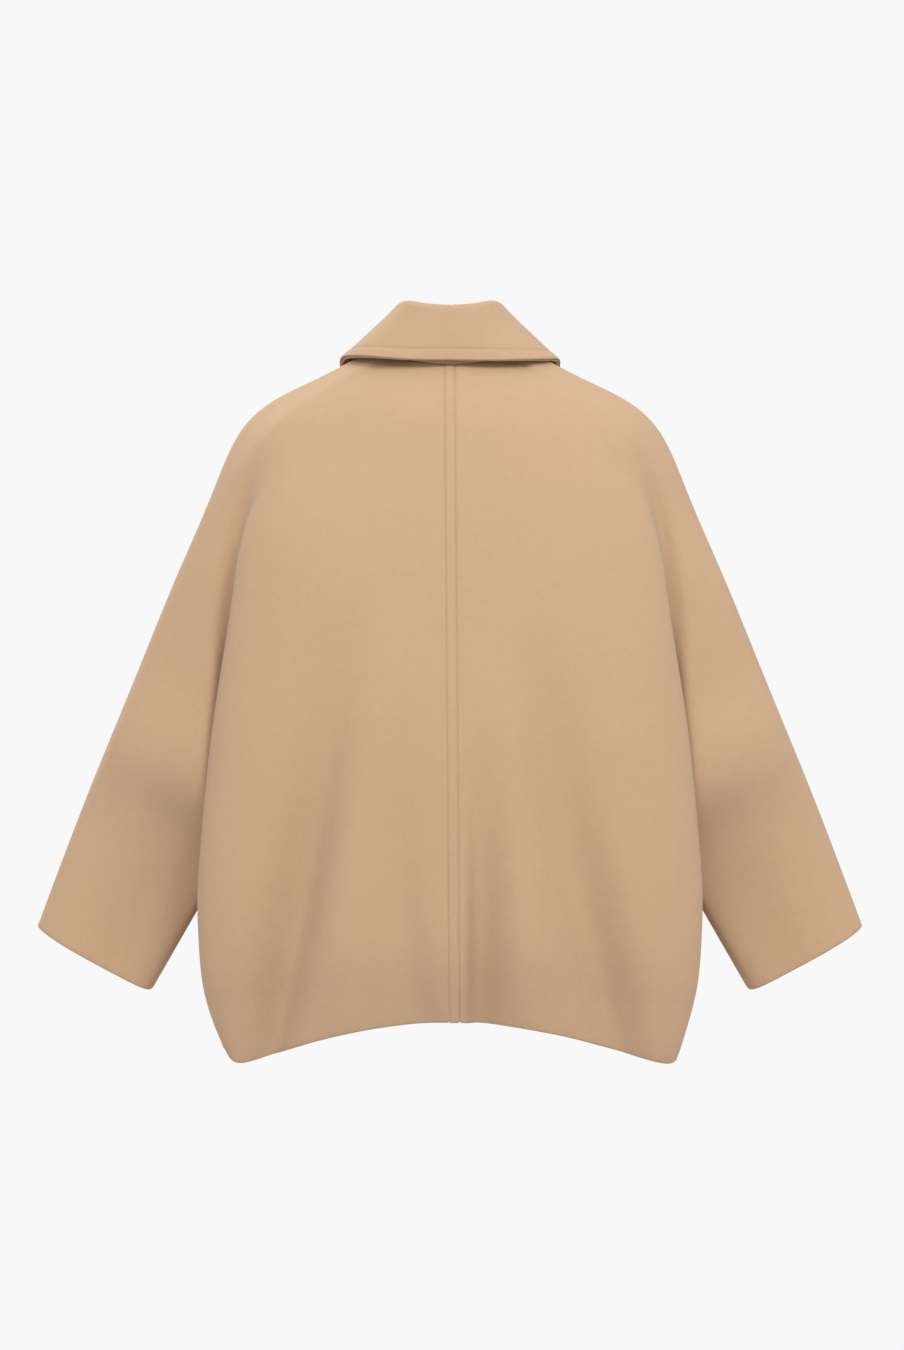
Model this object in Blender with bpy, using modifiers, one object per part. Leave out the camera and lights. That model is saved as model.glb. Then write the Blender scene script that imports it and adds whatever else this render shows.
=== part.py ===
"""A short wool coat, worn and closed, with its sleeves cut in one with the body.

Two half backs and two half fronts, each with its half of a sleeve, meet at the centre back, along the
top of the arm, and down the side and under the arm. A folded collar of two layers stands on the neck.

Metres, +Z up. The fronts face -Y and the wearer's left is +X. The origin is the middle of the neck
opening at the height of the shoulders. The tables give millimetres.
"""

import bpy
import numpy as np
from mathutils import Vector

MM = 0.001

# Driving dimensions
WOOL = 2.4 * MM                # thickness of the coating
SEAM_GAP = 0.3 * MM            # left between pieces that are sewn together
SEAM_AT_NECK = -5 * MM         # the worn coat's centre back seam sways to the wearer's right
SEAM_AT_HEM = -10.5 * MM
FRONT_LAP = 30 * MM            # each front runs this far past the centre front
LAP_STEP = 1.35 * MM           # the upper front is moved out, the lower front in, by this much
LAP_FADE = 40 * MM             # and both are back on the common surface this far from the lap
WELD = 0.01 * MM               # points of two pieces this near are one place
CREASE_STRETCH = 1.6           # the most that the wall's offset grows at a crease
UNDERARM_OUT = (0.13, 0, -0.99)  # the way out of the cloth where the side and sleeve seams part
COLLAR_LAYER = 2.2 * MM        # thickness of each of the collar's two layers
COLLAR_ROLL = 5.6 * MM         # radius between the layers where the collar turns over
COLLAR_END = 2 * MM            # the collar stops this far from the centre front
BUTTON_RADIUS = 14 * MM
BUTTON_THICKNESS = 4.2 * MM
BUTTON_HEIGHTS = (-125 * MM, -245 * MM, -365 * MM, -485 * MM)
BUTTON_STEPS = 24
# From the middle of the face over the rim to the middle of the back, in radii and thicknesses
BUTTON_PROFILE = ((0, 0.62), (0.62, 0.62), (0.74, 0.86), (0.88, 1.0), (1.0, 0.72), (1.0, 0.28), (0.9, 0),
                  (0, 0))

# How far the curves round the coat are pulled along their end directions, as shares of their length
BODY_FULLNESS = 0.62           # centre to ridge: 0 is straight, 1 a square corner
SIDE_PULL = 0.36               # ridge to valley or side seam
INNER_PULL = 0.3              # inner half of the sleeve, at the seam
MIDDLE_PULL = 0.6             # inner half of the sleeve, at its fullest line
OUTER_PULL = 0.6               # outer half of the sleeve, at both ends
OUTER_LEAST = 4 * MM           # and at least this far over the top of the arm
COLLAR_PULL = 0.4              # stand and leaf

CAMEL = (0.60, 0.42, 0.26)
HORN = (0.16, 0.09, 0.05)
SMOOTH_UP_TO = 50              # degrees between faces that are shaded as one surface

# Faces round half the coat: from the centre to the ridge, on to the valley, and round half the sleeve
COLUMNS_ACROSS = 13
COLUMNS_LAP = 2
COLUMNS_SIDE = 4
COLUMNS_INNER_SLEEVE = 3
COLUMNS_OUTER_SLEEVE = 4
CUFF_ROWS = 6
FINE_STEPS = 400               # in which columns are found along a curve

# Levels down the coat. Way is the distance down the panel from the neck, and rows the rows of faces
# from a level to the next. Centre is the middle of the panel and ridge the fullest line at its side.
# A turn is the plan direction of the cloth in degrees: 0 runs sideways, 90 straight from back to front.
LEVEL_COLUMNS = ("way", "rows", "centre_y", "centre_z", "ridge_x", "ridge_y", "ridge_z", "ridge_turn")
BACK_LEVELS = {
    "neck": (0, 3, 62, -19, 52, 45, -12, 37),
    "yoke": (90, 3, 101, -75, 108, 70, -54, 34),
    "shoulder": (175, 2, 120, -140, 176, 83, -118, 31),
    "fold_top": (235, 3, 129, -195, 213, 78, -172, 70),
    "chest": (335, 4, 139, -275, 236, 78, -270, 90),
    "waist": (470, 3, 147, -400, 256, 73, -398, 90),
    "gusset": (575, 3, 145, -505, 268, 66, -504, 90),
    "underarm": (610, 2, 142, -550, 272, 64, -550, 90),
    "side": (655, 2, 138, -592, 275, 60, -597, 90),
    "full": (710, 2, 132, -638, 274, 55, -650, 90),
    "low": (785, 2, 117, -690, 266, 47, -716, 90),
    "hem": (840, 0, 98, -733, 249, 38, -772, 90),
}
FRONT_LEVELS = {
    "neck": (0, 3, -76, -80, 54, -53.5, -40, 40),
    "yoke": (90, 3, -104, -125, 108, -76, -85, 36),
    "shoulder": (175, 2, -120, -175, 172, -86, -135, 38),
    "fold_top": (235, 3, -130, -225, 205, -84, -180, 62),
    "chest": (335, 4, -141, -295, 226, -86, -272, 88),
    "waist": (470, 3, -148, -410, 247, -90, -400, 90),
    "gusset": (575, 3, -146, -508, 262, -86, -505, 90),
    "underarm": (610, 2, -143, -550, 268, -84, -550, 90),
    "side": (655, 2, -139, -592, 271, -77, -597, 90),
    "full": (710, 2, -132, -638, 270, -68, -650, 90),
    "low": (785, 2, -117, -690, 264, -56, -715, 90),
    "hem": (840, 0, -100, -733, 248, -44, -771, 90),
}
HEM_DIP = 0.8                  # how steeply the hem climbs, in metres per metre, as it turns the corner

# The valley where the body meets the sleeve, behind and in front, down to the underarm point
VALLEY_COLUMNS = ("way", "x", "y", "z", "turn")
BACK_VALLEY = {
    "neck": (0, 60, 37, -9, 46),
    "yoke": (90, 122, 60, -49, 43),
    "shoulder": (175, 192, 72, -110, 40),
    "fold_top": (235, 219, 62, -170, 66),
    "chest": (335, 230, 57, -268, 50),
    "waist": (470, 245, 42, -398, 38),
    "gusset": (575, 249, 20, -510, 12),
    "underarm": (610, 240, -14, -550, 0),
}
FRONT_VALLEY = {
    "neck": (0, 62, -44, -30, 50),
    "yoke": (90, 122, -63, -72, 45),
    "shoulder": (175, 189, -70, -122, 47),
    "fold_top": (235, 213, -68, -174, 60),
    "chest": (335, 223, -62, -270, 50),
    "waist": (470, 240, -50, -398, 35),
    "gusset": (575, 243, -32, -510, 5),
    "underarm": (610, 240, -14, -550, 0),
}

# The side seam below the underarm point, and the seam along the top of the arm with how far the back
# and the front half of a sleeve bulge from the flat
SIDE_SEAM_COLUMNS = ("way", "x", "y", "z")
SIDE_SEAM = {
    "underarm": (610, 240, -14, -550),
    "side": (655, 239, -13, -597),
    "full": (710, 254, -12, -654),
    "low": (785, 260, -10, -718),
    "hem": (840, 249, -8, -768),
}
OVERARM_COLUMNS = ("way", "x", "y", "z", "back", "front")
OVERARM = {
    "neck": (0, 76, 0, 6, 5, 5),
    "yoke": (90, 150, -1, -34, 6, 6),
    "shoulder": (175, 226, -2, -84, 8, 8),
    "fold_top": (235, 258, -4, -150, 10, 10),
    "chest": (335, 299, -10, -245, 15, 14),
    "waist": (470, 347, -20, -360, 24, 18),
    "gusset": (575, 382.5, -28, -445, 36, 24),
    "underarm": (610, 395, -31, -475, 44, 30),
    "cuff": (780, 457, -54, -634, 32, 25),
}
# The seam under the arm runs straight from the underarm point to here
CUFF_UNDERARM = (329 * MM, -62 * MM, -703 * MM)

# Soft folds that hang from the shoulders. Each runs down a panel through three points, with its own
# width towards the middle of the coat and away from it. Troughs are below zero and ridges above it.
FOLD_COLUMNS = ("panel", "top_x", "top_z", "mid_x", "mid_z", "low_x", "low_z", "inner", "outer", "depth")
FOLDS = (
    ("back_left", 112, -330, 156, -530, 200, -760, 26, 38, -19),
    ("back_left", 70, -300, 104, -500, 112, -740, 30, 30, 7),
    ("back_left", 48, -400, 55, -560, 33, -730, 22, 22, -6),
    ("back_right", -34, -460, -34, -600, -32, -735, 20, 26, -12),
    ("back_right", -50, -280, -72, -500, -88, -735, 28, 28, 8),
    ("back_right", -78, -310, -130, -520, -184, -760, 34, 26, -13),
    ("back_right", -186, -450, -200, -600, -214, -770, 26, 26, 4),
    ("front_left", 126, -350, 150, -540, 190, -760, 26, 34, -15),
    ("front_left", 85, -330, 96, -520, 104, -750, 28, 28, 6),
    ("front_right", -118, -340, -146, -530, -180, -760, 32, 26, -13),
    ("front_right", -80, -420, -90, -580, -98, -750, 26, 26, 6),
)
FOLD_FADE = 170 * MM           # a fold reaches its depth this far below its top
SEAM_CALM = 18 * MM            # and fades out this near the centre back or the lap

# The collar at stations from centre back to centre front. Along is the share of the neckline, fold the
# top of the roll and edge the outer edge of the leaf. Lean is the leaf's share in which way the roll
# points. Lift raises the leaf on the left half alone.
COLLAR_COLUMNS = ("along", "fold_x", "fold_y", "fold_z", "edge_x", "edge_y", "edge_z", "lean", "lift")
COLLAR_STATIONS = (
    (0.00, 0, 57, 43.5, 0, 74, -11, 0.5, 0),
    (0.12, 25, 51, 45.5, 42, 70, -11.5, 0.5, 1),
    (0.26, 42, 35, 49, 84, 50, -11.5, 0.5, 3),
    (0.38, 50, 12, 46, 110, 20, -11, 0.5, 3),
    (0.47, 52, -8, 38, 119, -10, -12, 0.5, 1),
    (0.62, 49, -34, 19, 113, -58, -38, 0.5, 0),
    (0.79, 35, -56, -9, 92, -98, -75, 0.45, 0),
    (0.94, 15, -69, -32, 68, -120, -105, 0.25, 0),
    (1.00, 3, -71, -34, 58, -123, -111, 0.15, 0),
)
# Along the same run, how far the collar's foot stands above the neck edge
COLLAR_SEATS = ((0, 0.95), (0.1, 1.0), (0.26, 1.7), (0.43, 2.1), (0.6, 1.9), (1, 1.9))
COLLAR_HALF_COLUMNS = 14
STAND_ROWS = 3
ROLL_ROWS = 5
LEAF_ROWS = 5


# Curves

def smooth(knots, values, at):
    """A natural cubic spline: cubic pieces that share slope and bend at the knots."""
    step = np.diff(knots)
    rise = np.diff(values) / step
    system = np.eye(len(knots))
    wanted = np.zeros(len(knots))
    for i in range(1, len(knots) - 1):
        system[i, i - 1:i + 2] = step[i - 1], 2 * (step[i - 1] + step[i]), step[i]
        wanted[i] = 6 * (rise[i] - rise[i - 1])
    bend = np.linalg.solve(system, wanted)
    i = np.clip(np.searchsorted(knots, at, side="right") - 1, 0, len(knots) - 2)
    right = at - knots[i]
    left = knots[i + 1] - at
    curve = (bend[i] * left ** 3 + bend[i + 1] * right ** 3) / (6 * step[i])
    return (curve + (values[i] / step[i] - bend[i] * step[i] / 6) * left
            + (values[i + 1] / step[i] - bend[i + 1] * step[i] / 6) * right)


def read(table, names, at):
    """Each named column of a table as a spline over its first column."""
    rows = np.array(list(table.values()) if isinstance(table, dict) else table, float)
    return {name: smooth(rows[:, 0], rows[:, i], at) for i, name in enumerate(names)}


def line(columns, name=""):
    """The x, y and z columns of a line as an array of points in metres."""
    return MM * np.stack([columns[name + axis] for axis in "xyz"], axis=-1)


def ease(value):
    """Rises from 0 to 1 with no slope at either end."""
    value = np.clip(value, 0.0, 1.0)
    return value * value * (3 - 2 * value)


def size(vectors):
    """Length of each vector, with its last axis kept."""
    return np.linalg.norm(vectors, axis=-1, keepdims=True)


def unit(vectors):
    """Each vector at length one."""
    return vectors / np.maximum(size(vectors), 1e-12)


def dot(first, second):
    """Product of each pair of vectors, with the last axis kept."""
    return (first * second).sum(axis=-1, keepdims=True)


def bezier(start, start_pull, end_pull, end, share):
    """Points along one cubic curve for each row, at the given shares of its run."""
    t = np.broadcast_to(share, (len(start), np.shape(share)[-1]))[:, :, None]
    return ((1 - t) ** 3 * start[:, None] + 3 * t * (1 - t) ** 2 * start_pull[:, None]
            + 3 * t * t * (1 - t) * end_pull[:, None] + t ** 3 * end[:, None])


def even(count):
    """Shares of a run at even steps."""
    return np.linspace(0, 1, count + 1)


# The common surface of the panels, as rows down the coat and columns round it. A front is worked out
# turned over in Y, as if it were a back, and turned back at the end.

def ways_between(levels, first, last):
    """The way of every row from one level to another."""
    names = list(levels)
    ways = [levels[last][0]]
    for name, below in zip(names, names[1:]):
        if names.index(first) <= names.index(name) < names.index(last):
            ways += list(np.linspace(levels[name][0], levels[below][0], levels[name][1] + 1)[:-1])
    return np.array(sorted(ways))


def body_lines(levels, ways, side):
    """Centre and ridge points at each way, and the turn at the ridge."""
    columns = read(levels, LEVEL_COLUMNS, ways)
    columns["centre_x"] = 0 * ways
    centre, ridge = (line(columns, name + "_") * (1, side, 1) for name in ("centre", "ridge"))
    return centre, ridge, np.radians(np.minimum(columns["ridge_turn"], 90))


def arm_lines(ways, side):
    """The overarm seam at each way and its direction."""
    columns = read(OVERARM, OVERARM_COLUMNS, ways)
    ahead = read(OVERARM, OVERARM_COLUMNS, ways + 1)
    overarm, next_overarm = (line(part) * (1, side, 1) for part in (columns, ahead))
    return overarm, unit(next_overarm - overarm)


def fullest_line(valleys, side, ways):
    """The fullest line of half a sleeve at each way, and the direction across it, smooth past the
    underarm point: splines through the middle of the half sleeve at each named level."""
    turned = np.array([1, side, 1])
    table = np.array(list(OVERARM.values()), float)
    overarm, axis = arm_lines(table[:, 0], side)
    inner = MM * np.array([row[1:4] for row in valleys.values()]) * turned
    inner = np.concatenate([inner, [CUFF_UNDERARM * turned]])
    chord = unit(overarm - inner)
    bulge = MM * table[:, OVERARM_COLUMNS.index("back" if side > 0 else "front")][:, None]
    middle = (inner + overarm) / 2 + bulge * unit(np.cross(chord, axis))
    middle, chord = (np.stack([smooth(table[:, 0], values[:, i], ways) for i in range(3)], axis=-1)
                     for values in (middle, chord))
    return middle, unit(chord)


def slope(before, here, after):
    """Rise per metre at a point, the shorter of the runs before and after it counting more."""
    run_before = size((here - before)[:, :2])[:, 0]
    run_after = size((after - here)[:, :2])[:, 0]
    steps = (here - before)[:, 2] / run_before * run_after + (after - here)[:, 2] / run_after * run_before
    return steps / (run_before + run_after)


def heading(turn, rise):
    """Direction of the cloth from its turn in plan and its rise per metre."""
    return unit(np.stack([np.cos(turn), -np.sin(turn), rise], axis=-1))


def seam_x(z):
    """Where the centre back seam lies at a height, between neck and hem."""
    neck_z, hem_z = (MM * BACK_LEVELS[name][LEVEL_COLUMNS.index("centre_z")] for name in ("neck", "hem"))
    return np.interp(z, (hem_z, neck_z), (SEAM_AT_HEM, SEAM_AT_NECK))


def across_rows(ends, lapped, sway):
    """Rows from the centre to the ridge, along one cubic curve each and its mirror image.

    A lapped front has columns at even steps of the lap. A back starts past the centre, or short of it,
    by its sway, and its columns move along the cloth with it, less and less towards the ridge.
    """
    fine = even(FINE_STEPS)
    even_shares = even(COLUMNS_ACROSS)
    shares, sides = [], []
    for across, shift in zip(bezier(*ends, fine)[:, :, 0], sway):
        wanted = np.interp(even_shares, fine, across) + shift * (1 - even_shares) ** 2
        if lapped:
            near = np.interp(FRONT_LAP * even(COLUMNS_LAP), across, fine)
            far = near[-1] + (1 - near[-1]) * even(COLUMNS_ACROSS - COLUMNS_LAP)
            wanted = np.interp(np.concatenate([near, far[1:]]), fine, across)
        shares.append(np.interp(np.abs(wanted), across, fine))
        sides.append(np.sign(wanted))
    rows = bezier(*ends, np.array(shares))
    rows[:, :, 0] *= np.array(sides)
    return rows


def body_rows(centre, ridge, valley, ridge_turn, arrival, lapped, sway, dip=0.0):
    """Rows from the centre to the ridge and on to the valley or the side seam."""
    rise = slope(centre, ridge, valley) + dip
    ridge_heading = heading(ridge_turn, rise)
    reach = (centre[:, 1] - ridge[:, 1]) / np.sin(ridge_turn)
    corner_x = ridge[:, 0] - reach * np.cos(ridge_turn)
    centre_pull = centre + BODY_FULLNESS * np.stack([corner_x, 0 * reach, 0 * reach], axis=-1)
    plan_heading = ridge_heading / size(ridge_heading[:, :2])
    ridge_pull = ridge - BODY_FULLNESS * reach[:, None] * plan_heading
    across = across_rows((centre, centre_pull, ridge_pull, ridge), lapped, sway)
    pull = SIDE_PULL * size(valley - ridge)
    round_side = bezier(ridge, ridge + pull * ridge_heading, valley - pull * arrival, valley,
                        even(COLUMNS_SIDE))
    return np.concatenate([across, round_side[:, 1:]], axis=1)


def sleeve_rows(inner, departure, overarm, axis, fullest):
    """Rows from the valley or underarm seam, round the fullest line of half a sleeve, to the overarm."""
    middle, chord = fullest
    reach = size(middle - inner)
    inner_half = bezier(inner, inner + INNER_PULL * reach * departure,
                        middle - MIDDLE_PULL * reach * chord, middle, even(COLUMNS_INNER_SLEEVE))
    back = back_across(axis)
    along_pull = OUTER_PULL * dot(overarm - middle, chord)
    over_pull = OUTER_PULL * np.maximum(dot(middle - overarm, back), OUTER_LEAST)
    outer_half = bezier(middle, middle + along_pull * chord, overarm + over_pull * back, overarm,
                        even(COLUMNS_OUTER_SLEEVE))
    return np.concatenate([inner_half, outer_half[:, 1:]], axis=1)


def back_across(axis):
    """Straight back, square to the arm."""
    straight = np.array([0.0, 1.0, 0.0])
    return unit(straight - dot(straight, axis) * axis)


def half_surface(levels, valleys, side, hand):
    """The upper rows of body and sleeve in one, then the rows of the lower body and lower sleeve.

    They are worked out at positive X, and mirrored at the end for the wearer's right.
    """
    lapped = side < 0
    turned = np.array([1, side, 1])
    mirrored = np.array([hand, side, 1])
    forward = np.array([0.0, -1.0, 0.0])

    ways = ways_between(levels, "neck", "underarm")
    centre, ridge, ridge_turn = body_lines(levels, ways, side)
    columns = read(valleys, VALLEY_COLUMNS, ways)
    valley = line(columns) * turned
    overarm, axis = arm_lines(ways, side)
    fullest = fullest_line(valleys, side, ways)
    through = heading(np.radians(columns["turn"]), slope(ridge, valley, overarm))
    gusset, underarm = levels["gusset"][0], levels["underarm"][0]
    parted = ease((ways - gusset) / (underarm - gusset))[:, None]
    arrival = unit((1 - parted) * through + parted * forward)
    departure = unit((1 - parted) * through + parted * back_across(axis))
    sway = 0 * ways if lapped else hand * seam_x(centre[:, 2])
    body = body_rows(centre, ridge, valley, ridge_turn, arrival, lapped, sway)
    sleeve = sleeve_rows(valley, departure, overarm, axis, fullest)
    upper = np.concatenate([body, sleeve[:, 1:]], axis=1)

    ways = ways_between(levels, "underarm", "hem")
    centre, ridge, ridge_turn = body_lines(levels, ways, side)
    side_seam = line(read(SIDE_SEAM, SIDE_SEAM_COLUMNS, ways)) * turned
    low, hem = levels["low"][0], levels["hem"][0]
    dip = HEM_DIP * ease((ways - low) / (hem - low))
    sway = 0 * ways if lapped else hand * seam_x(centre[:, 2])
    lower_body = body_rows(centre, ridge, side_seam, ridge_turn, forward, lapped, sway, dip)

    ways = np.linspace(underarm, OVERARM["cuff"][0], CUFF_ROWS + 1)
    overarm, axis = arm_lines(ways, side)
    fullest = fullest_line(valleys, side, ways)
    underarm_seam = side_seam[0] + even(CUFF_ROWS)[:, None] * (CUFF_UNDERARM * turned - side_seam[0])
    lower_sleeve = sleeve_rows(underarm_seam, back_across(axis), overarm, axis, fullest)

    if lapped:
        upper = with_lap(upper)
        lower_body = with_lap(lower_body)
    return [grid * mirrored for grid in (upper, lower_body, lower_sleeve)]


def with_lap(grid):
    """Adds the columns past the centre front, the mirror image of the first ones."""
    mirrored = grid[:, COLUMNS_LAP:0:-1] * (-1, 1, 1)
    return np.concatenate([mirrored, grid], axis=1)


# Panels as networks of points and faces

def panel_net(grids):
    """Joins the three grids of a panel into one list of points and its faces."""
    upper, lower_body, lower_sleeve = grids
    seam_column = lower_body.shape[1] - 1
    numbers = np.arange(upper.shape[0] * upper.shape[1]).reshape(upper.shape[:2])
    points = [upper.reshape(-1, 3)]
    nets = [numbers]
    start = numbers.size
    for grid, last_row in ((lower_body, numbers[-1, :seam_column + 1]),
                           (lower_sleeve, numbers[-1, seam_column:])):
        below = start + np.arange((len(grid) - 1) * grid.shape[1]).reshape(-1, grid.shape[1])
        nets.append(np.concatenate([last_row[None], below]))
        points.append(grid[1:].reshape(-1, 3))
        start += below.size
    return np.concatenate(points), nets, seam_column


def faces_of(net, turned, lap=0):
    """Two triangles for each cell of a network, facing out.

    Cells past the centre front are parted along their other diagonal, like the cells they mirror.
    """
    cells = [net[:-1, :-1], net[:-1, 1:], net[1:, 1:], net[1:, :-1]]
    past = [cell[:, :lap] for cell in cells]
    rest = [cell[:, lap:] for cell in cells]
    halves = [(past, (0, 1, 3)), (past, (1, 2, 3)), (rest, (0, 1, 2)), (rest, (0, 2, 3))]
    faces = np.concatenate([np.stack([group[i] for i in corners], axis=-1).reshape(-1, 3)
                            for group, corners in halves])
    return faces[:, ::-1] if turned else faces


def shared_places(pieces):
    """A number for every point of the pieces, the same for points that are in one place."""
    keys = np.concatenate([np.round(piece["points"] / WELD).astype(int) for piece in pieces])
    return np.unique(keys, axis=0, return_inverse=True)[1].ravel()


def shared_normals(pieces, places):
    """The way out of the cloth at every point, averaged over the faces of all pieces that meet there.

    Each face counts by its angle at the point. A vector is longer than one at a crease, so that cloth
    of one thickness lies between a surface and the points moved along the vectors.
    """
    sums = np.zeros((places.max() + 1, 3))
    weights = np.zeros((places.max() + 1, 1))
    start = 0
    for piece in pieces:
        corners = piece["points"][piece["faces"]]
        square = unit(np.cross(corners[:, 1] - corners[:, 0], corners[:, 2] - corners[:, 0]))
        for i in range(3):
            before = unit(corners[:, i - 1] - corners[:, i])
            after = unit(corners[:, (i + 1) % 3] - corners[:, i])
            angle = np.arccos(np.clip(dot(before, after), -1, 1))
            at = places[start + piece["faces"][:, i]]
            np.add.at(sums, at, square * angle)
            np.add.at(weights, at, angle)
        start += len(piece["points"])
    stretch = np.minimum(weights / np.maximum(size(sums), 1e-12), CREASE_STRETCH)
    outward = (unit(sums) * stretch)[places]
    ends = np.cumsum([len(piece["points"]) for piece in pieces])
    return np.split(outward, ends[:-1])


def folds_on(piece):
    """How far the folds of a panel stand out at each point: a bell across each fold's line.

    They fade out beside the middle seam or the lap, and from the ridge to the valley or side seam.
    """
    x, z = piece["points"][:, 0], piece["points"][:, 2]
    out = np.zeros(len(x))
    for row in FOLDS:
        fold = dict(zip(FOLD_COLUMNS, row))
        if fold["panel"] != piece["name"]:
            continue
        heights = MM * np.array([fold["low_z"], fold["mid_z"], fold["top_z"]])
        places = MM * np.array([fold["low_x"], fold["mid_x"], fold["top_x"]])
        path = np.polyval(np.polyfit(heights, places, 2), z)
        width = MM * np.where(np.abs(x) < np.abs(path), fold["inner"], fold["outer"])
        bell = np.exp(-((x - path) / width) ** 2)
        out += fold["depth"] * MM * bell * ease((heights[2] - z) / FOLD_FADE)
    left_flat = FRONT_LAP if piece["side"] < 0 else piece["hand"] * seam_x(z)
    beside_seam = np.zeros(len(x))
    for net in piece["nets"][:2]:
        columns = piece["seam_column"] - np.arange(net.shape[1])
        beside_seam[net] = ease(columns / COLUMNS_SIDE)
    return out * ease((x * piece["hand"] - left_flat) / SEAM_CALM) * beside_seam


def wall(outer, inner, faces):
    """Points and faces of a closed sheet: its outside, its inside, and a strip round every edge.

    The strip's cells are parted along their shorter diagonal, so that two strips at a seam agree.
    """
    count = len(outer)
    starts = faces.ravel()
    ends = np.roll(faces, -1, axis=1).ravel()
    forward = set(zip(starts.tolist(), ends.tolist()))
    edge = [(a, b) for a, b in forward if (b, a) not in forward]
    rim = []
    for a, b in sorted(edge):
        if size(outer[b] - inner[a]) < size(outer[a] - inner[b]):
            rim += [(b, a, a + count), (b, a + count, b + count)]
        else:
            rim += [(b, a, b + count), (a, a + count, b + count)]
    closed = faces.tolist() + (faces[:, ::-1] + count).tolist() + rim
    return np.concatenate([outer, inner]), closed


# Objects

def clear_scene():
    """Removes what the file opened with."""
    for thing in list(bpy.data.objects):
        bpy.data.objects.remove(thing, do_unlink=True)


def collection(name):
    """A new collection in the scene."""
    group = bpy.data.collections.new(name)
    bpy.context.scene.collection.children.link(group)
    return group


def material(name, colour, roughness):
    """A plain Principled material."""
    finish = bpy.data.materials.new(name)
    finish.use_nodes = True
    shader = finish.node_tree.nodes["Principled BSDF"]
    shader.inputs["Base Color"].default_value = (*colour, 1.0)
    shader.inputs["Roughness"].default_value = roughness
    shader.inputs["Metallic"].default_value = 0.0
    return finish


def add_object(group, name, points, faces, finish):
    """An object from points and faces, shaded smooth but for its sharp edges."""
    mesh = bpy.data.meshes.new(name)
    mesh.from_pydata([tuple(point) for point in points], [], [tuple(face) for face in faces])
    mesh.materials.append(finish)
    mesh.shade_smooth()
    mesh.set_sharp_from_angle(angle=np.radians(SMOOTH_UP_TO))
    thing = bpy.data.objects.new(name, mesh)
    group.objects.link(thing)
    return thing


def build_panels(group):
    """The two half backs and two half fronts, with the seams between them held open a little."""
    pieces = []
    for name, levels, valleys, side, hand in (("back_left", BACK_LEVELS, BACK_VALLEY, 1, 1),
                                              ("back_right", BACK_LEVELS, BACK_VALLEY, 1, -1),
                                              ("front_left", FRONT_LEVELS, FRONT_VALLEY, -1, 1),
                                              ("front_right", FRONT_LEVELS, FRONT_VALLEY, -1, -1)):
        points, nets, seam_column = panel_net(half_surface(levels, valleys, side, hand))
        turned = side * hand < 0
        laps = (COLUMNS_LAP, COLUMNS_LAP, 0) if side < 0 else (0, 0, 0)
        faces = np.concatenate([faces_of(net, turned, lap) for net, lap in zip(nets, laps)])
        pieces.append({"name": name, "points": points, "nets": nets, "faces": faces, "side": side,
                       "hand": hand, "seam_column": seam_column})

    places = shared_places(pieces)
    for piece, normals in zip(pieces, shared_normals(pieces, places)):
        level = unit(normals * (1, 1, 0))
        piece["points"] = piece["points"] + folds_on(piece)[:, None] * level

    for piece, normals in zip(pieces, shared_normals(pieces, places)):
        outer = piece["points"]
        normals[piece["nets"][0][-1, piece["seam_column"]]] = np.array(UNDERARM_OUT) * (piece["hand"], 1, 1)
        if piece["side"] < 0:
            own_side = outer[:, 0] * piece["hand"]
            step = LAP_STEP * (1 - ease((own_side - FRONT_LAP) / LAP_FADE))
            outer = outer - (piece["hand"] * step)[:, None] * normals
        inner = outer - WOOL * normals
        for surface in (outer, inner):
            open_seams(piece, surface)
        piece["outer"] = outer
        piece["normals"] = normals
        points, faces = wall(outer, inner, piece["faces"])
        finish = material(piece["name"] + "_wool", CAMEL, 0.9)
        add_object(group, piece["name"], points, faces, finish)
    return pieces


def open_seams(piece, surface):
    """Draws a panel's seam edges back by half the gap between sewn pieces."""
    upper, lower_body, lower_sleeve = piece["nets"]
    front_to_back = np.concatenate([upper[:, -1], lower_sleeve[1:, -1], lower_sleeve[:, 0],
                                    lower_body[1:, -1]])
    surface[np.unique(front_to_back), 1] += piece["side"] * SEAM_GAP / 2
    if piece["side"] > 0:
        centre_back = np.unique(np.concatenate([upper[:, 0], lower_body[:, 0]]))
        surface[centre_back, 0] += piece["hand"] * SEAM_GAP / 2


def neckline(pieces):
    """Middle of the cloth along the neck edge, from the centre of the back to the centre front."""
    by_name = {piece["name"]: piece for piece in pieces}
    back, front = by_name["back_left"], by_name["front_left"]
    middles = [piece["points"] - WOOL / 2 * piece["normals"] for piece in (back, front)]
    back_edge = middles[0][back["nets"][0][0]]
    centre = [[np.interp(0, back_edge[:, 0], back_edge[:, i]) for i in range(3)]]
    back_edge = np.concatenate([centre, back_edge[back_edge[:, 0] > MM]])
    front_edge = middles[1][front["nets"][0][0][COLUMNS_LAP:]]
    return np.concatenate([back_edge, front_edge[-2::-1]])


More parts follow.
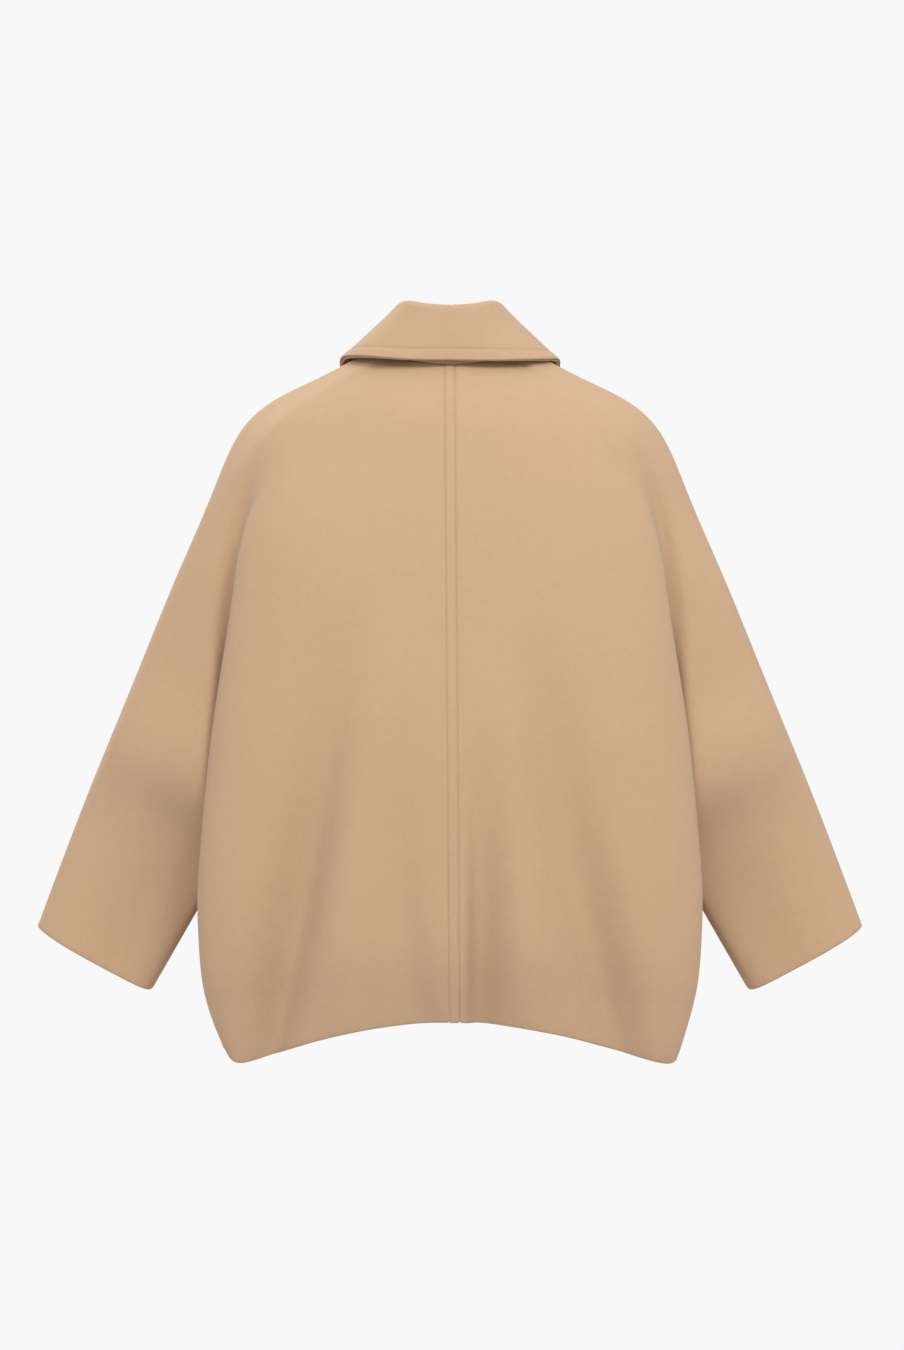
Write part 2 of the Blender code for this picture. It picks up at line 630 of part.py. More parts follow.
def collar_surface(pieces):
    """The sheet between the collar's layers: up the stand, over the roll and down the leaf.

    Each column is a straight stand that bends into a half circle square to the fold line, and a leaf
    that bends out of it to the edge.
    """
    edge_line = neckline(pieces)
    run = np.concatenate([[0], np.cumsum(size(np.diff(edge_line, axis=0)))])
    along = even(COLLAR_HALF_COLUMNS)
    at = along * (run[-1] - COLLAR_END)
    foot = np.stack([np.interp(at, run, edge_line[:, i]) for i in range(3)], axis=-1)
    seat = MM * np.interp(along, *np.transpose(COLLAR_SEATS))
    halves = {}
    for hand in (1, -1):
        columns = read(COLLAR_STATIONS, COLLAR_COLUMNS, along)
        fold = line(columns, "fold_")
        edge = line(columns, "edge_")
        if hand > 0:
            edge = edge + MM * columns["lift"][:, None] * (0, 0.4, 1)
        halves[hand] = [part * (hand, 1, 1) for part in (foot, fold, edge)]
    foot, fold, edge = (np.concatenate([halves[-1][i][:0:-1], halves[1][i]]) for i in range(3))
    lean, seat = (np.concatenate([half[:0:-1], half])[:, None] for half in (columns["lean"], seat))

    tangent = unit(np.gradient(fold, axis=0))
    rise = fold - (1 - lean) * foot - lean * edge
    rise = unit(rise - dot(rise, tangent) * tangent)
    out = np.cross(rise, tangent)
    centre = fold - COLLAR_ROLL * rise
    stand_foot = foot + seat * unit(fold - foot)
    stand_top = centre - COLLAR_ROLL * out
    leaf_top = centre + COLLAR_ROLL * out
    pull = COLLAR_PULL * size(stand_top - stand_foot)
    stand = bezier(stand_foot, stand_foot + pull * unit(stand_top - stand_foot),
                   stand_top - pull * rise, stand_top, even(STAND_ROWS))
    angle = np.pi * even(ROLL_ROWS)[1:-1]
    roll = (centre[:, None] - COLLAR_ROLL * np.cos(angle)[None, :, None] * out[:, None]
            + COLLAR_ROLL * np.sin(angle)[None, :, None] * rise[:, None])
    pull = COLLAR_PULL * size(edge - leaf_top)
    leaf = bezier(leaf_top, leaf_top - pull * rise, edge - pull * unit(edge - leaf_top), edge,
                  even(LEAF_ROWS))
    return np.concatenate([stand, roll, leaf], axis=1)


def build_collar(group, pieces):
    """The upper collar outside the sheet's middle and the under collar inside it."""
    grid = collar_surface(pieces)
    points = grid.reshape(-1, 3)
    net = np.arange(len(points)).reshape(grid.shape[:2])
    faces = faces_of(net, True)
    normals = shared_normals([{"points": points, "faces": faces}], np.arange(len(points)))[0]
    for name, side in (("upper_collar", 1), ("under_collar", -1)):
        near = points + side * SEAM_GAP / 2 * normals
        far = points + side * (SEAM_GAP / 2 + COLLAR_LAYER) * normals
        outer, inner = (far, near) if side > 0 else (near, far)
        add_object(group, name, *wall(outer, inner, faces), material(name + "_wool", CAMEL, 0.9))


def build_buttons(group, pieces):
    """Turned buttons with a raised rim, seated flat on the upper front at the centre front."""
    front = next(piece for piece in pieces if piece["name"] == "front_right")
    upper, lower_body, _ = front["nets"]
    centre = np.concatenate([upper[:, COLUMNS_LAP], lower_body[1:, COLUMNS_LAP]])
    rows = front["outer"][centre]
    outward = front["normals"][centre]
    for number, height in enumerate(BUTTON_HEIGHTS, 1):
        mesh = bpy.data.meshes.new("button")
        mesh.from_pydata([(BUTTON_RADIUS * r, 0, BUTTON_THICKNESS * h) for r, h in BUTTON_PROFILE],
                         [(i, i + 1) for i in range(len(BUTTON_PROFILE) - 1)], [])
        button = bpy.data.objects.new("button_%d" % number, mesh)
        mesh.materials.append(material("button_%d_horn" % number, HORN, 0.35))
        group.objects.link(button)
        turn = button.modifiers.new("turn", "SCREW")
        turn.steps = BUTTON_STEPS
        turn.render_steps = BUTTON_STEPS
        turn.use_merge_vertices = True
        turn.merge_threshold = 0.0001
        turn.use_smooth_shade = True
        place = np.array([np.interp(-height, -rows[:, 2], rows[:, i]) for i in range(3)])
        normal = unit(np.array([np.interp(-height, -rows[:, 2], outward[:, i]) for i in range(3)]))
        near = front["outer"][size(front["outer"] - place)[:, 0] < 3 * BUTTON_RADIUS]
        over = size(near - place - dot(near - place, normal) * normal)[:, 0] < 1.2 * BUTTON_RADIUS
        proud = max(0.0, dot(near[over] - place, normal).max()) if over.any() else 0.0
        button.location = Vector(place + (SEAM_GAP + proud) * normal)
        button.rotation_euler = Vector(normal).to_track_quat("Z", "Y").to_euler()


def main():
    clear_scene()
    group = collection("short_wool_coat")
    pieces = build_panels(group)
    build_collar(group, pieces)
    build_buttons(group, pieces)


main()
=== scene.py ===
"""A short wool coat, worn and closed, seen from behind over a round pale floor.

Metres, +Z up. The fronts face -Y and the wearer's left is +X. The tables give millimetres.
"""

import bpy
import numpy as np
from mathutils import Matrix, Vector


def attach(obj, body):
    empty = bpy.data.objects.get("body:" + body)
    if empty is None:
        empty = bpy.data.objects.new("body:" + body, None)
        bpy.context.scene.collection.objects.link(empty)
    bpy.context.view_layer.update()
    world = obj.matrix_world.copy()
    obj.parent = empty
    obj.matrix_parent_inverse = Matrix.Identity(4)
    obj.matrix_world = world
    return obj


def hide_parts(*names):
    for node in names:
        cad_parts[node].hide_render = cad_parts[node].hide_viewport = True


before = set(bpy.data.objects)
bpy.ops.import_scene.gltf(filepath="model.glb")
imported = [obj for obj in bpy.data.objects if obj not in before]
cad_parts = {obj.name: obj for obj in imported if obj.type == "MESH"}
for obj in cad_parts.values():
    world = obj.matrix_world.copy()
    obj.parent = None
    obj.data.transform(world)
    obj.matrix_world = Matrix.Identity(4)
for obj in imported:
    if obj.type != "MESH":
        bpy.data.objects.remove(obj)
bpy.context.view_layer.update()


# The studio ------------------------------------------------------------------------------------------
# The coat hangs over a round pale floor in a white room. Two wide soft lights stand high on both sides
# of the camera, one lights the fronts, and the room is a little darker below.

MM = 0.001
VIEW_DISTANCE = 6.0
VIEW_HEIGHT = 1.485            # what the picture takes in at the coat, from top to bottom
VIEW_CENTRE = (-0.0022, -0.3575)
FILM_HEIGHT = 24.0

camera = bpy.data.cameras.new("view_from_behind")
camera.sensor_fit = "VERTICAL"
camera.sensor_height = FILM_HEIGHT
camera.lens = FILM_HEIGHT * VIEW_DISTANCE / VIEW_HEIGHT
viewer = bpy.data.objects.new("view_from_behind", camera)
viewer.location = (VIEW_CENTRE[0], VIEW_DISTANCE, VIEW_CENTRE[1])
viewer.rotation_euler = (np.pi / 2, 0, np.pi)
scene = bpy.context.scene
scene.collection.objects.link(viewer)
scene.camera = viewer
scene.view_settings.view_transform = "Standard"


def put(name, points, faces, finish):
    """An object at the origin whose place is in its mesh, all of one finish."""
    mesh = bpy.data.meshes.new(name)
    faces = np.asarray(faces)
    mesh.vertices.add(len(points))
    mesh.vertices.foreach_set("co", np.asarray(points, np.float32).ravel())
    mesh.loops.add(faces.size)
    mesh.loops.foreach_set("vertex_index", faces.astype(np.int32).ravel())
    mesh.polygons.add(len(faces))
    mesh.polygons.foreach_set("loop_start", np.arange(0, faces.size, faces.shape[1], dtype=np.int32))
    mesh.update(calc_edges=True)
    mesh.validate()
    mesh.shade_smooth()
    mesh.materials.append(finish)
    thing = bpy.data.objects.new(name, mesh)
    scene.collection.objects.link(thing)
    return thing


def numbered(*shape, start=0):
    """Numbers of the points of a grid."""
    return start + np.arange(np.prod(shape)).reshape(shape)


def cells(numbers, turned):
    """The four-sided faces of a network, turned over where they would face in."""
    faces = np.stack([numbers[:-1, :-1], numbers[:-1, 1:], numbers[1:, 1:], numbers[1:, :-1]], axis=-1)
    faces = faces.reshape(-1, 4)
    return faces[:, ::-1] if turned else faces


FLOOR_Z = -1.46
FLOOR_RADIUS = 2.75
FLOOR_RIM = 0.97               # share of the radius where the rim begins to bend down
FLOOR_DROP = 0.03
FLOOR_RINGS = 25
FLOOR_SIDES = 97
FLOOR_COLOUR = (0.52, 0.52, 0.52, 1)


def floor_disc(u, v):
    """The floor: u runs round it and v out from the middle, and the rim bends down a little."""
    out = FLOOR_RADIUS * v
    drop = FLOOR_DROP * np.maximum(v - FLOOR_RIM, 0) / (1 - FLOOR_RIM)
    return np.stack([out * np.cos(2 * np.pi * u), out * np.sin(2 * np.pi * u), FLOOR_Z - drop], axis=-1)


floor_paint = bpy.data.materials.new("pale_floor_paint")
floor_paint.use_nodes = True
floor_paint.node_tree.nodes["Principled BSDF"].inputs["Base Color"].default_value = FLOOR_COLOUR
floor_paint.node_tree.nodes["Principled BSDF"].inputs["Roughness"].default_value = 0.9
floor_places = floor_disc(*np.meshgrid(np.linspace(0, 1, FLOOR_SIDES), np.linspace(0, 1, FLOOR_RINGS)))
floor = put("pale_floor", floor_places.reshape(-1, 3), cells(numbered(FLOOR_RINGS, FLOOR_SIDES), True),
            floor_paint)

LIGHTS_AIM = Vector((0, 0, -0.4))
LIGHTS = (                     # name, x, y, z, width, power in watts
    ("from_right", -1.9, 4.6, 3.6, 1.6, 158),
    ("from_left", 1.6, 4.9, 3.6, 1.6, 88),
    ("on_the_fronts", 2.6, -3.6, 2.8, 1.4, 92),
)
for name, x, y, z, width, power in LIGHTS:
    lamp = bpy.data.lights.new(name, "AREA")
    lamp.shape = "DISK"
    lamp.size = width
    lamp.energy = power
    light = bpy.data.objects.new(name, lamp)
    light.location = (x, y, z)
    light.rotation_euler = (LIGHTS_AIM - Vector((x, y, z))).to_track_quat("-Z", "Y").to_euler()
    scene.collection.objects.link(light)

ROOM = {"From Min": -0.36, "From Max": -0.14, "To Min": 0.27, "To Max": 0.94}
room = bpy.data.worlds.new("white_room")
room.use_nodes = True
way_up = room.node_tree.nodes.new("ShaderNodeSeparateXYZ")
brightness = room.node_tree.nodes.new("ShaderNodeMapRange")
for socket, value in ROOM.items():
    brightness.inputs[socket].default_value = value
sky = room.node_tree.nodes["Background"]
sky.inputs["Color"].default_value = (1, 1, 1, 1)
room.node_tree.links.new(room.node_tree.nodes.new("ShaderNodeTexCoord").outputs["Generated"],
                         way_up.inputs[0])
room.node_tree.links.new(way_up.outputs["Z"], brightness.inputs["Value"])
room.node_tree.links.new(brightness.outputs["Result"], sky.inputs["Strength"])
scene.world = room


# The back halves -------------------------------------------------------------------------------------
# Two half backs of felted camel wool, each cut in one with the back half of its sleeve. They are sewn
# together down the centre back, where the allowances are stitched down on the left side.

WOOL = 2.4 * MM
SEAM_GAP = 0.3 * MM
SEAM_AT_NECK = -5 * MM         # the worn coat's centre back seam sways to the wearer's right
SEAM_AT_HEM = -10.5 * MM
FRONT_LAP = 30 * MM
LAP_STEP = 1.35 * MM           # the upper front lies this far out at the lap, and the lower one this far in
LAP_FADE = 40 * MM
WELD = 0.01 * MM               # points nearer than this are in one place
TINY = 1e-12                   # the least length that is divided by
CREASE_STRETCH = 1.6
UNDERARM_OUT = (0.13, 0, -0.99)
# How full the curves are: each pull is a share of the distance that its curve covers
BODY_FULLNESS = 0.62
SIDE_PULL = 0.36
INNER_PULL = 0.45
MIDDLE_PULL = 0.8
OUTER_PULL = 0.6
OUTER_LEAST = 4 * MM
HEM_DIP = 0.8
ROWS_FINER = 8                 # rows of cloth for each row named in the levels
COLUMNS_FAR = 66
COLUMNS_SIDE = 34
COLUMNS_INNER_SLEEVE = 24
COLUMNS_OUTER_SLEEVE = 28
CUFF_ROWS = 44
FINE_STEPS = 400
ROLL_EXTRA = 5                 # columns added where the cloth rolls into a seam
ROLL_FIRST = 0.006             # share of the run to the first of them
ROLL_SPREAD = 1.5
ROLL_CLEAR = 1.4
# Columns beside the centre back, close together where the seam and its stitching are
NEAR_BACK = MM * np.array([0, 0.5, 1, 1.6, 2.3, 3.2, 4.4, 6, 7.6, 9, 9.9, 10.5, 10.9, 11.3, 11.7, 12.1, 12.7,
                           13.6, 15, 17, 19.5, 22.5])

LEVEL_COLUMNS = ("way", "rows", "centre_y", "centre_z", "ridge_x", "ridge_y", "ridge_z", "ridge_turn")
BACK_LEVELS = {
    "neck": (0, 3, 62, -19, 52, 45, -12, 37),
    "yoke": (90, 3, 101, -75, 108, 70, -54, 34),
    "shoulder": (175, 2, 120, -140, 176, 83, -118, 31),
    "fold_top": (235, 3, 129, -195, 213, 78, -172, 70),
    "chest": (335, 4, 139, -275, 236, 78, -270, 90),
    "waist": (470, 3, 147, -400, 256, 73, -398, 90),
    "gusset": (575, 3, 145, -505, 268, 66, -504, 90),
    "underarm": (610, 2, 142, -550, 272, 64, -550, 90),
    "side": (655, 2, 138, -592, 275, 60, -597, 90),
    "full": (710, 2, 132, -638, 274, 55, -650, 90),
    "low": (785, 2, 117, -690, 266, 47, -716, 90),
    "hem": (840, 0, 98, -733, 249, 38, -772, 90),
}
VALLEY_COLUMNS = ("way", "x", "y", "z", "turn")
BACK_VALLEY = {
    "neck": (0, 60, 37, -9, 46),
    "yoke": (90, 122, 60, -49, 43),
    "shoulder": (175, 192, 72, -110, 40),
    "fold_top": (235, 219, 62, -170, 66),
    "chest": (335, 230, 57, -268, 50),
    "waist": (470, 245, 42, -398, 38),
    "gusset": (575, 249, 20, -510, 12),
    "underarm": (610, 240, -14, -550, 0),
}
SIDE_SEAM_COLUMNS = ("way", "x", "y", "z")
SIDE_SEAM = {
    "underarm": (610, 240, -14, -550),
    "side": (655, 239, -13, -597),
    "full": (710, 254, -12, -654),
    "low": (785, 260, -10, -718),
    "hem": (840, 249, -8, -768),
}
OVERARM_COLUMNS = ("way", "x", "y", "z", "back", "front")
OVERARM = {
    "neck": (0, 76, 0, 6, 5, 5),
    "yoke": (90, 150, -1, -34, 6, 6),
    "shoulder": (175, 226, -2, -84, 8, 8),
    "fold_top": (235, 258, -4, -150, 12, 10),
    "chest": (335, 299, -10, -245, 21, 14),
    "waist": (470, 347, -20, -360, 30, 18),
    "gusset": (575, 382.5, -28, -445, 37, 24),
    "underarm": (610, 395, -31, -475, 39, 30),
    "cuff": (780, 457, -54, -634, 36, 25),
}
CUFF_UNDERARM = (329 * MM, -62 * MM, -703 * MM)

# Folds that hang from the shoulders, troughs below zero and ridges above it. Each has its own width
# towards the middle of the coat and away from it.
FOLD_COLUMNS = ("top_x", "top_z", "mid_x", "mid_z", "low_x", "low_z", "inner", "outer", "depth")
BACK_FOLDS = {
    "back_left": (
        (104, -240, 152, -530, 199, -760, 29, 42, -38),
        (70, -240, 104, -500, 112, -740, 30, 30, 7),
        (48, -360, 55, -560, 33, -730, 20, 20, -9),
        (196, -560, 212, -660, 226, -770, 18, 18, 3),
    ),
    "back_right": (
        (-34, -400, -34, -600, -32, -735, 16, 24, -21),
        (-54, -240, -72, -500, -88, -735, 26, 26, 9),
        (-84, -260, -130, -520, -186, -760, 38, 32, -28),
        (-186, -450, -200, -600, -214, -770, 26, 26, 4),
    ),
}
FOLD_FADE = 0.85               # share of a fold's run over which it deepens
FOLD_CLEAR = 0.5               # share of the side's columns, next to its seam, that no fold reaches
SEAM_CALM = 18 * MM            # the folds rise over this width beside the middle


def smooth(knots, values, at):
    """A natural cubic spline: cubic pieces that share slope and bend at the knots."""
    step = np.diff(knots)
    rise = np.diff(values) / step
    system = np.eye(len(knots))
    wanted = np.zeros(len(knots))
    for i in range(1, len(knots) - 1):
        system[i, i - 1:i + 2] = step[i - 1], 2 * (step[i - 1] + step[i]), step[i]
        wanted[i] = 6 * (rise[i] - rise[i - 1])
    bend = np.linalg.solve(system, wanted)
    i = np.clip(np.searchsorted(knots, at, side="right") - 1, 0, len(knots) - 2)
    right = at - knots[i]
    left = knots[i + 1] - at
    curve = (bend[i] * left ** 3 + bend[i + 1] * right ** 3) / (6 * step[i])
    return (curve + (values[i] / step[i] - bend[i] * step[i] / 6) * left
            + (values[i + 1] / step[i] - bend[i + 1] * step[i] / 6) * right)


def read(table, names, at):
    """Each named column of a table as a spline over its first column."""
    rows = np.array(list(table.values()) if isinstance(table, dict) else table, float)
    return {name: smooth(rows[:, 0], rows[:, i], at) for i, name in enumerate(names)}


def line(columns, name=""):
    """The x, y and z columns of a line as an array of points in metres."""
    return MM * np.stack([columns[name + axis] for axis in "xyz"], axis=-1)


def ease(value):
    """Rises from 0 to 1 with no slope at either end."""
    value = np.clip(value, 0.0, 1.0)
    return value * value * (3 - 2 * value)


def size(vectors):
    """Length of each vector, with its last axis kept."""
    return np.linalg.norm(vectors, axis=-1, keepdims=True)


def unit(vectors):
    """Each vector at length one."""
    return vectors / np.maximum(size(vectors), TINY)


def dot(first, second):
    """Product of each pair of vectors, with the last axis kept."""
    return (first * second).sum(axis=-1, keepdims=True)


def bezier(start, start_pull, end_pull, end, share):
    """Points along one cubic curve for each row, at the given shares of its run."""
    t = np.broadcast_to(share, (len(start), np.shape(share)[-1]))[:, :, None]
    return ((1 - t) ** 3 * start[:, None] + 3 * t * (1 - t) ** 2 * start_pull[:, None]
            + 3 * t * t * (1 - t) * end_pull[:, None] + t ** 3 * end[:, None])


def even(count):
    """Shares of a run at even steps."""
    return np.linspace(0, 1, count + 1)


def close_to(shares, end):
    """Shares with a few more, ever closer to one end, for the cloth that rolls into a seam."""
    if end:
        return 1 - close_to(1 - shares[::-1], 0)[::-1]
    extra = ROLL_FIRST * np.arange(ROLL_EXTRA + 1)[1:] ** ROLL_SPREAD
    inside = shares[(shares > extra[-1] * ROLL_CLEAR) & (shares < 1.0)]
    return np.concatenate([[0], extra, inside, [1]])


def ways_between(levels, first, last):
    """The way of every row from one level to another."""
    names = list(levels)
    ways = [levels[last][0]]
    for name, below in zip(names, names[1:]):
        if names.index(first) <= names.index(name) < names.index(last):
            steps = levels[name][1] * ROWS_FINER
            ways += list(np.linspace(levels[name][0], levels[below][0], steps + 1)[:-1])
    return np.array(sorted(ways))


def body_lines(levels, ways, side):
    """Centre and ridge points at each way, and the turn at the ridge."""
    columns = read(levels, LEVEL_COLUMNS, ways)
    columns["centre_x"] = 0 * ways
    centre, ridge = (line(columns, name + "_") * (1, side, 1) for name in ("centre", "ridge"))
    return centre, ridge, np.radians(np.minimum(columns["ridge_turn"], 90))


def arm_lines(ways, side):
    """The overarm seam at each way and its direction."""
    columns = read(OVERARM, OVERARM_COLUMNS, ways)
    ahead = read(OVERARM, OVERARM_COLUMNS, ways + 1)
    overarm, next_overarm = (line(part) * (1, side, 1) for part in (columns, ahead))
    return overarm, unit(next_overarm - overarm)


def fullest_line(valleys, side, ways):
    """The fullest line of half a sleeve at each way, and the direction across it, smooth past the
    underarm point: splines through the middle of the half sleeve at each named level."""
    turned = np.array([1, side, 1])
    table = np.array(list(OVERARM.values()), float)
    overarm, axis = arm_lines(table[:, 0], side)
    inner = MM * np.array([row[1:4] for row in valleys.values()]) * turned
    inner = np.concatenate([inner, [CUFF_UNDERARM * turned]])
    chord = unit(overarm - inner)
    bulge = MM * table[:, OVERARM_COLUMNS.index("back" if side > 0 else "front")][:, None]
    middle = (inner + overarm) / 2 + bulge * unit(np.cross(chord, axis))
    middle, chord = (np.stack([smooth(table[:, 0], values[:, i], ways) for i in range(3)], axis=-1)
                     for values in (middle, chord))
    return middle, unit(chord)


def slope(before, here, after):
    """Rise per metre at a point, the shorter of the runs before and after it counting more."""
    run_before = size((here - before)[:, :2])[:, 0]
    run_after = size((after - here)[:, :2])[:, 0]
    steps = (here - before)[:, 2] / run_before * run_after + (after - here)[:, 2] / run_after * run_before
    return steps / (run_before + run_after)


def heading(turn, rise):
    """Direction of the cloth from its turn in plan and its rise per metre."""
    return unit(np.stack([np.cos(turn), -np.sin(turn), rise], axis=-1))


def seam_x(z):
    """Where the centre back seam lies at a height, between neck and hem."""
    neck_z, hem_z = (MM * BACK_LEVELS[name][LEVEL_COLUMNS.index("centre_z")] for name in ("neck", "hem"))
    return np.interp(z, (hem_z, neck_z), (SEAM_AT_HEM, SEAM_AT_NECK))


def across_rows(ends, near, sway):
    """Rows from the centre to the ridge, along one cubic curve each and its mirror image: columns at set
    distances from a start that sways past the centre or short of it, then at even steps."""
    fine = even(FINE_STEPS)
    shares, sides = [], []
    for across, shift in zip(bezier(*ends, fine)[:, :, 0], sway):
        last = np.interp(shift + near[-1], across, fine)
        far = np.interp(last + (1 - last) * even(COLUMNS_FAR)[1:], fine, across)
        wanted = np.concatenate([shift + near, far])
        shares.append(np.interp(np.abs(wanted), across, fine))
        sides.append(np.sign(wanted))
    rows = bezier(*ends, np.array(shares))
    rows[:, :, 0] *= np.array(sides)
    return rows


def body_rows(centre, ridge, valley, ridge_turn, arrival, near, side_shares, sway, dip=0.0):
    """Rows from the centre to the ridge and on to the valley or side seam: one cubic curve that leaves
    the centre straight sideways, and one that goes on along the ridge's heading."""
    rise = slope(centre, ridge, valley) + dip
    ridge_heading = heading(ridge_turn, rise)
    reach = (centre[:, 1] - ridge[:, 1]) / np.sin(ridge_turn)
    corner_x = ridge[:, 0] - reach * np.cos(ridge_turn)
    centre_pull = centre + BODY_FULLNESS * np.stack([corner_x, 0 * reach, 0 * reach], axis=-1)
    plan_heading = ridge_heading / size(ridge_heading[:, :2])
    ridge_pull = ridge - BODY_FULLNESS * reach[:, None] * plan_heading
    across = across_rows((centre, centre_pull, ridge_pull, ridge), near, sway)
    pull = SIDE_PULL * size(valley - ridge)
    round_side = bezier(ridge, ridge + pull * ridge_heading, valley - pull * arrival, valley, side_shares)
    return np.concatenate([across, round_side[:, 1:]], axis=1)


def sleeve_rows(inner, departure, overarm, axis, fullest, inner_shares, outer_shares):
    """Rows from the valley or underarm seam, round the fullest line of half a sleeve, to the overarm."""
    middle, chord = fullest
    reach = size(middle - inner)
    inner_half = bezier(inner, inner + INNER_PULL * reach * departure,
                        middle - MIDDLE_PULL * reach * chord, middle, inner_shares)
    back = back_across(axis)
    along_pull = OUTER_PULL * dot(overarm - middle, chord)
    over_pull = OUTER_PULL * np.maximum(dot(middle - overarm, back), OUTER_LEAST)
    outer_half = bezier(middle, middle + along_pull * chord, overarm + over_pull * back, overarm,
                        outer_shares)
    return np.concatenate([inner_half, outer_half[:, 1:]], axis=1)


def back_across(axis):
    """Straight back, square to the arm."""
    straight = np.array([0.0, 1.0, 0.0])
    return unit(straight - dot(straight, axis) * axis)


def half_surface(levels, valleys, side, hand, near):
    """The upper rows of body and sleeve in one, then the rows of the lower body and lower sleeve. They
    are worked out at positive X, and mirrored at the end for the wearer's right."""
    turned = np.array([1, side, 1])
    mirrored = np.array([hand, side, 1])
    forward = np.array([0.0, -1.0, 0.0])
    inner_shares = even(COLUMNS_INNER_SLEEVE)
    outer_shares = close_to(even(COLUMNS_OUTER_SLEEVE), 1)

    ways = ways_between(levels, "neck", "underarm")
    centre, ridge, ridge_turn = body_lines(levels, ways, side)
    columns = read(valleys, VALLEY_COLUMNS, ways)
    valley = line(columns) * turned
    overarm, axis = arm_lines(ways, side)
    fullest = fullest_line(valleys, side, ways)
    through = heading(np.radians(columns["turn"]), slope(ridge, valley, overarm))
    gusset, underarm = levels["gusset"][0], levels["underarm"][0]
    parted = ease((ways - gusset) / (underarm - gusset))[:, None]
    arrival = unit((1 - parted) * through + parted * forward)
    leaving = ease((ways - levels["fold_top"][0]) / (gusset - levels["fold_top"][0]))[:, None]
    departure = unit((1 - leaving) * through + leaving * back_across(axis))
    side_shares = close_to(even(COLUMNS_SIDE), 1)
    sway = hand * seam_x(centre[:, 2]) * (side > 0)
    body = body_rows(centre, ridge, valley, ridge_turn, arrival, near, side_shares, sway)
    sleeve = sleeve_rows(valley, departure, overarm, axis, fullest, close_to(inner_shares, 0),
                         outer_shares)
    upper = np.concatenate([body, sleeve[:, 1:]], axis=1)

    ways = ways_between(levels, "underarm", "hem")
    centre, ridge, ridge_turn = body_lines(levels, ways, side)
    side_seam = line(read(SIDE_SEAM, SIDE_SEAM_COLUMNS, ways)) * turned
    low, hem = levels["low"][0], levels["hem"][0]
    dip = HEM_DIP * ease((ways - low) / (hem - low))
    sway = hand * seam_x(centre[:, 2]) * (side > 0)
    lower_body = body_rows(centre, ridge, side_seam, ridge_turn, forward, near, side_shares, sway, dip)

    ways = np.linspace(underarm, OVERARM["cuff"][0], CUFF_ROWS + 1)
    overarm, axis = arm_lines(ways, side)
    fullest = fullest_line(valleys, side, ways)
    underarm_seam = side_seam[0] + even(CUFF_ROWS)[:, None] * (CUFF_UNDERARM * turned - side_seam[0])
    lower_sleeve = sleeve_rows(underarm_seam, back_across(axis), overarm, axis, fullest,
                               close_to(inner_shares, 0), outer_shares)
    if side < 0:
        upper, lower_body = (with_lap(grid, len(near)) for grid in (upper, lower_body))
    return [grid * mirrored for grid in (upper, lower_body, lower_sleeve)]


def with_lap(grid, lap):
    """Adds the columns past the centre front, the mirror image of the first ones."""
    return np.concatenate([grid[:, lap - 1:0:-1] * (-1, 1, 1), grid], axis=1)


def panel_net(grids):
    """Joins the three grids of a panel into one list of points and its networks of numbers."""
    upper, lower_body, lower_sleeve = grids
    seam_column = lower_body.shape[1] - 1
    numbers = numbered(*upper.shape[:2])
    points = [upper.reshape(-1, 3)]
    nets = [numbers]
    start = numbers.size
    for grid, last_row in ((lower_body, numbers[-1, :seam_column + 1]),
                           (lower_sleeve, numbers[-1, seam_column:])):
        below = numbered(len(grid) - 1, grid.shape[1], start=start)
        nets.append(np.concatenate([last_row[None], below]))
        points.append(grid[1:].reshape(-1, 3))
        start += below.size
    return np.concatenate(points), nets, seam_column


def shared_places(pieces):
    """A number for every point of the pieces, the same for points that are in one place."""
    keys = np.concatenate([np.round(piece["points"] / WELD).astype(int) for piece in pieces])
    return np.unique(keys, axis=0, return_inverse=True)[1].ravel()


def shared_normals(pieces, places):
    """The way out of the cloth at every point: the mean, by angle, of the faces that meet there, longer
    than one at a crease."""
    sums = np.zeros((places.max() + 1, 3))
    weights = np.zeros((places.max() + 1, 1))
    start = 0
    for piece in pieces:
        corners = piece["points"][piece["faces"]]
        for i in range(4):
            before = unit(corners[:, i - 1] - corners[:, i])
            after = unit(corners[:, (i + 1) % 4] - corners[:, i])
            angle = np.arccos(np.clip(dot(before, after), -1, 1))
            at = places[start + piece["faces"][:, i]]
            np.add.at(sums, at, unit(np.cross(after, before)) * angle)
            np.add.at(weights, at, angle)
        start += len(piece["points"])
    stretch = np.minimum(weights / np.maximum(size(sums), TINY), CREASE_STRETCH)
    outward = (unit(sums) * stretch)[places]
    ends = np.cumsum([len(piece["points"]) for piece in pieces])
    return np.split(outward, ends[:-1])


def bell(distance, width):
    """1 at no distance, fading over the width."""
    return np.exp(-(distance / width) ** 2)


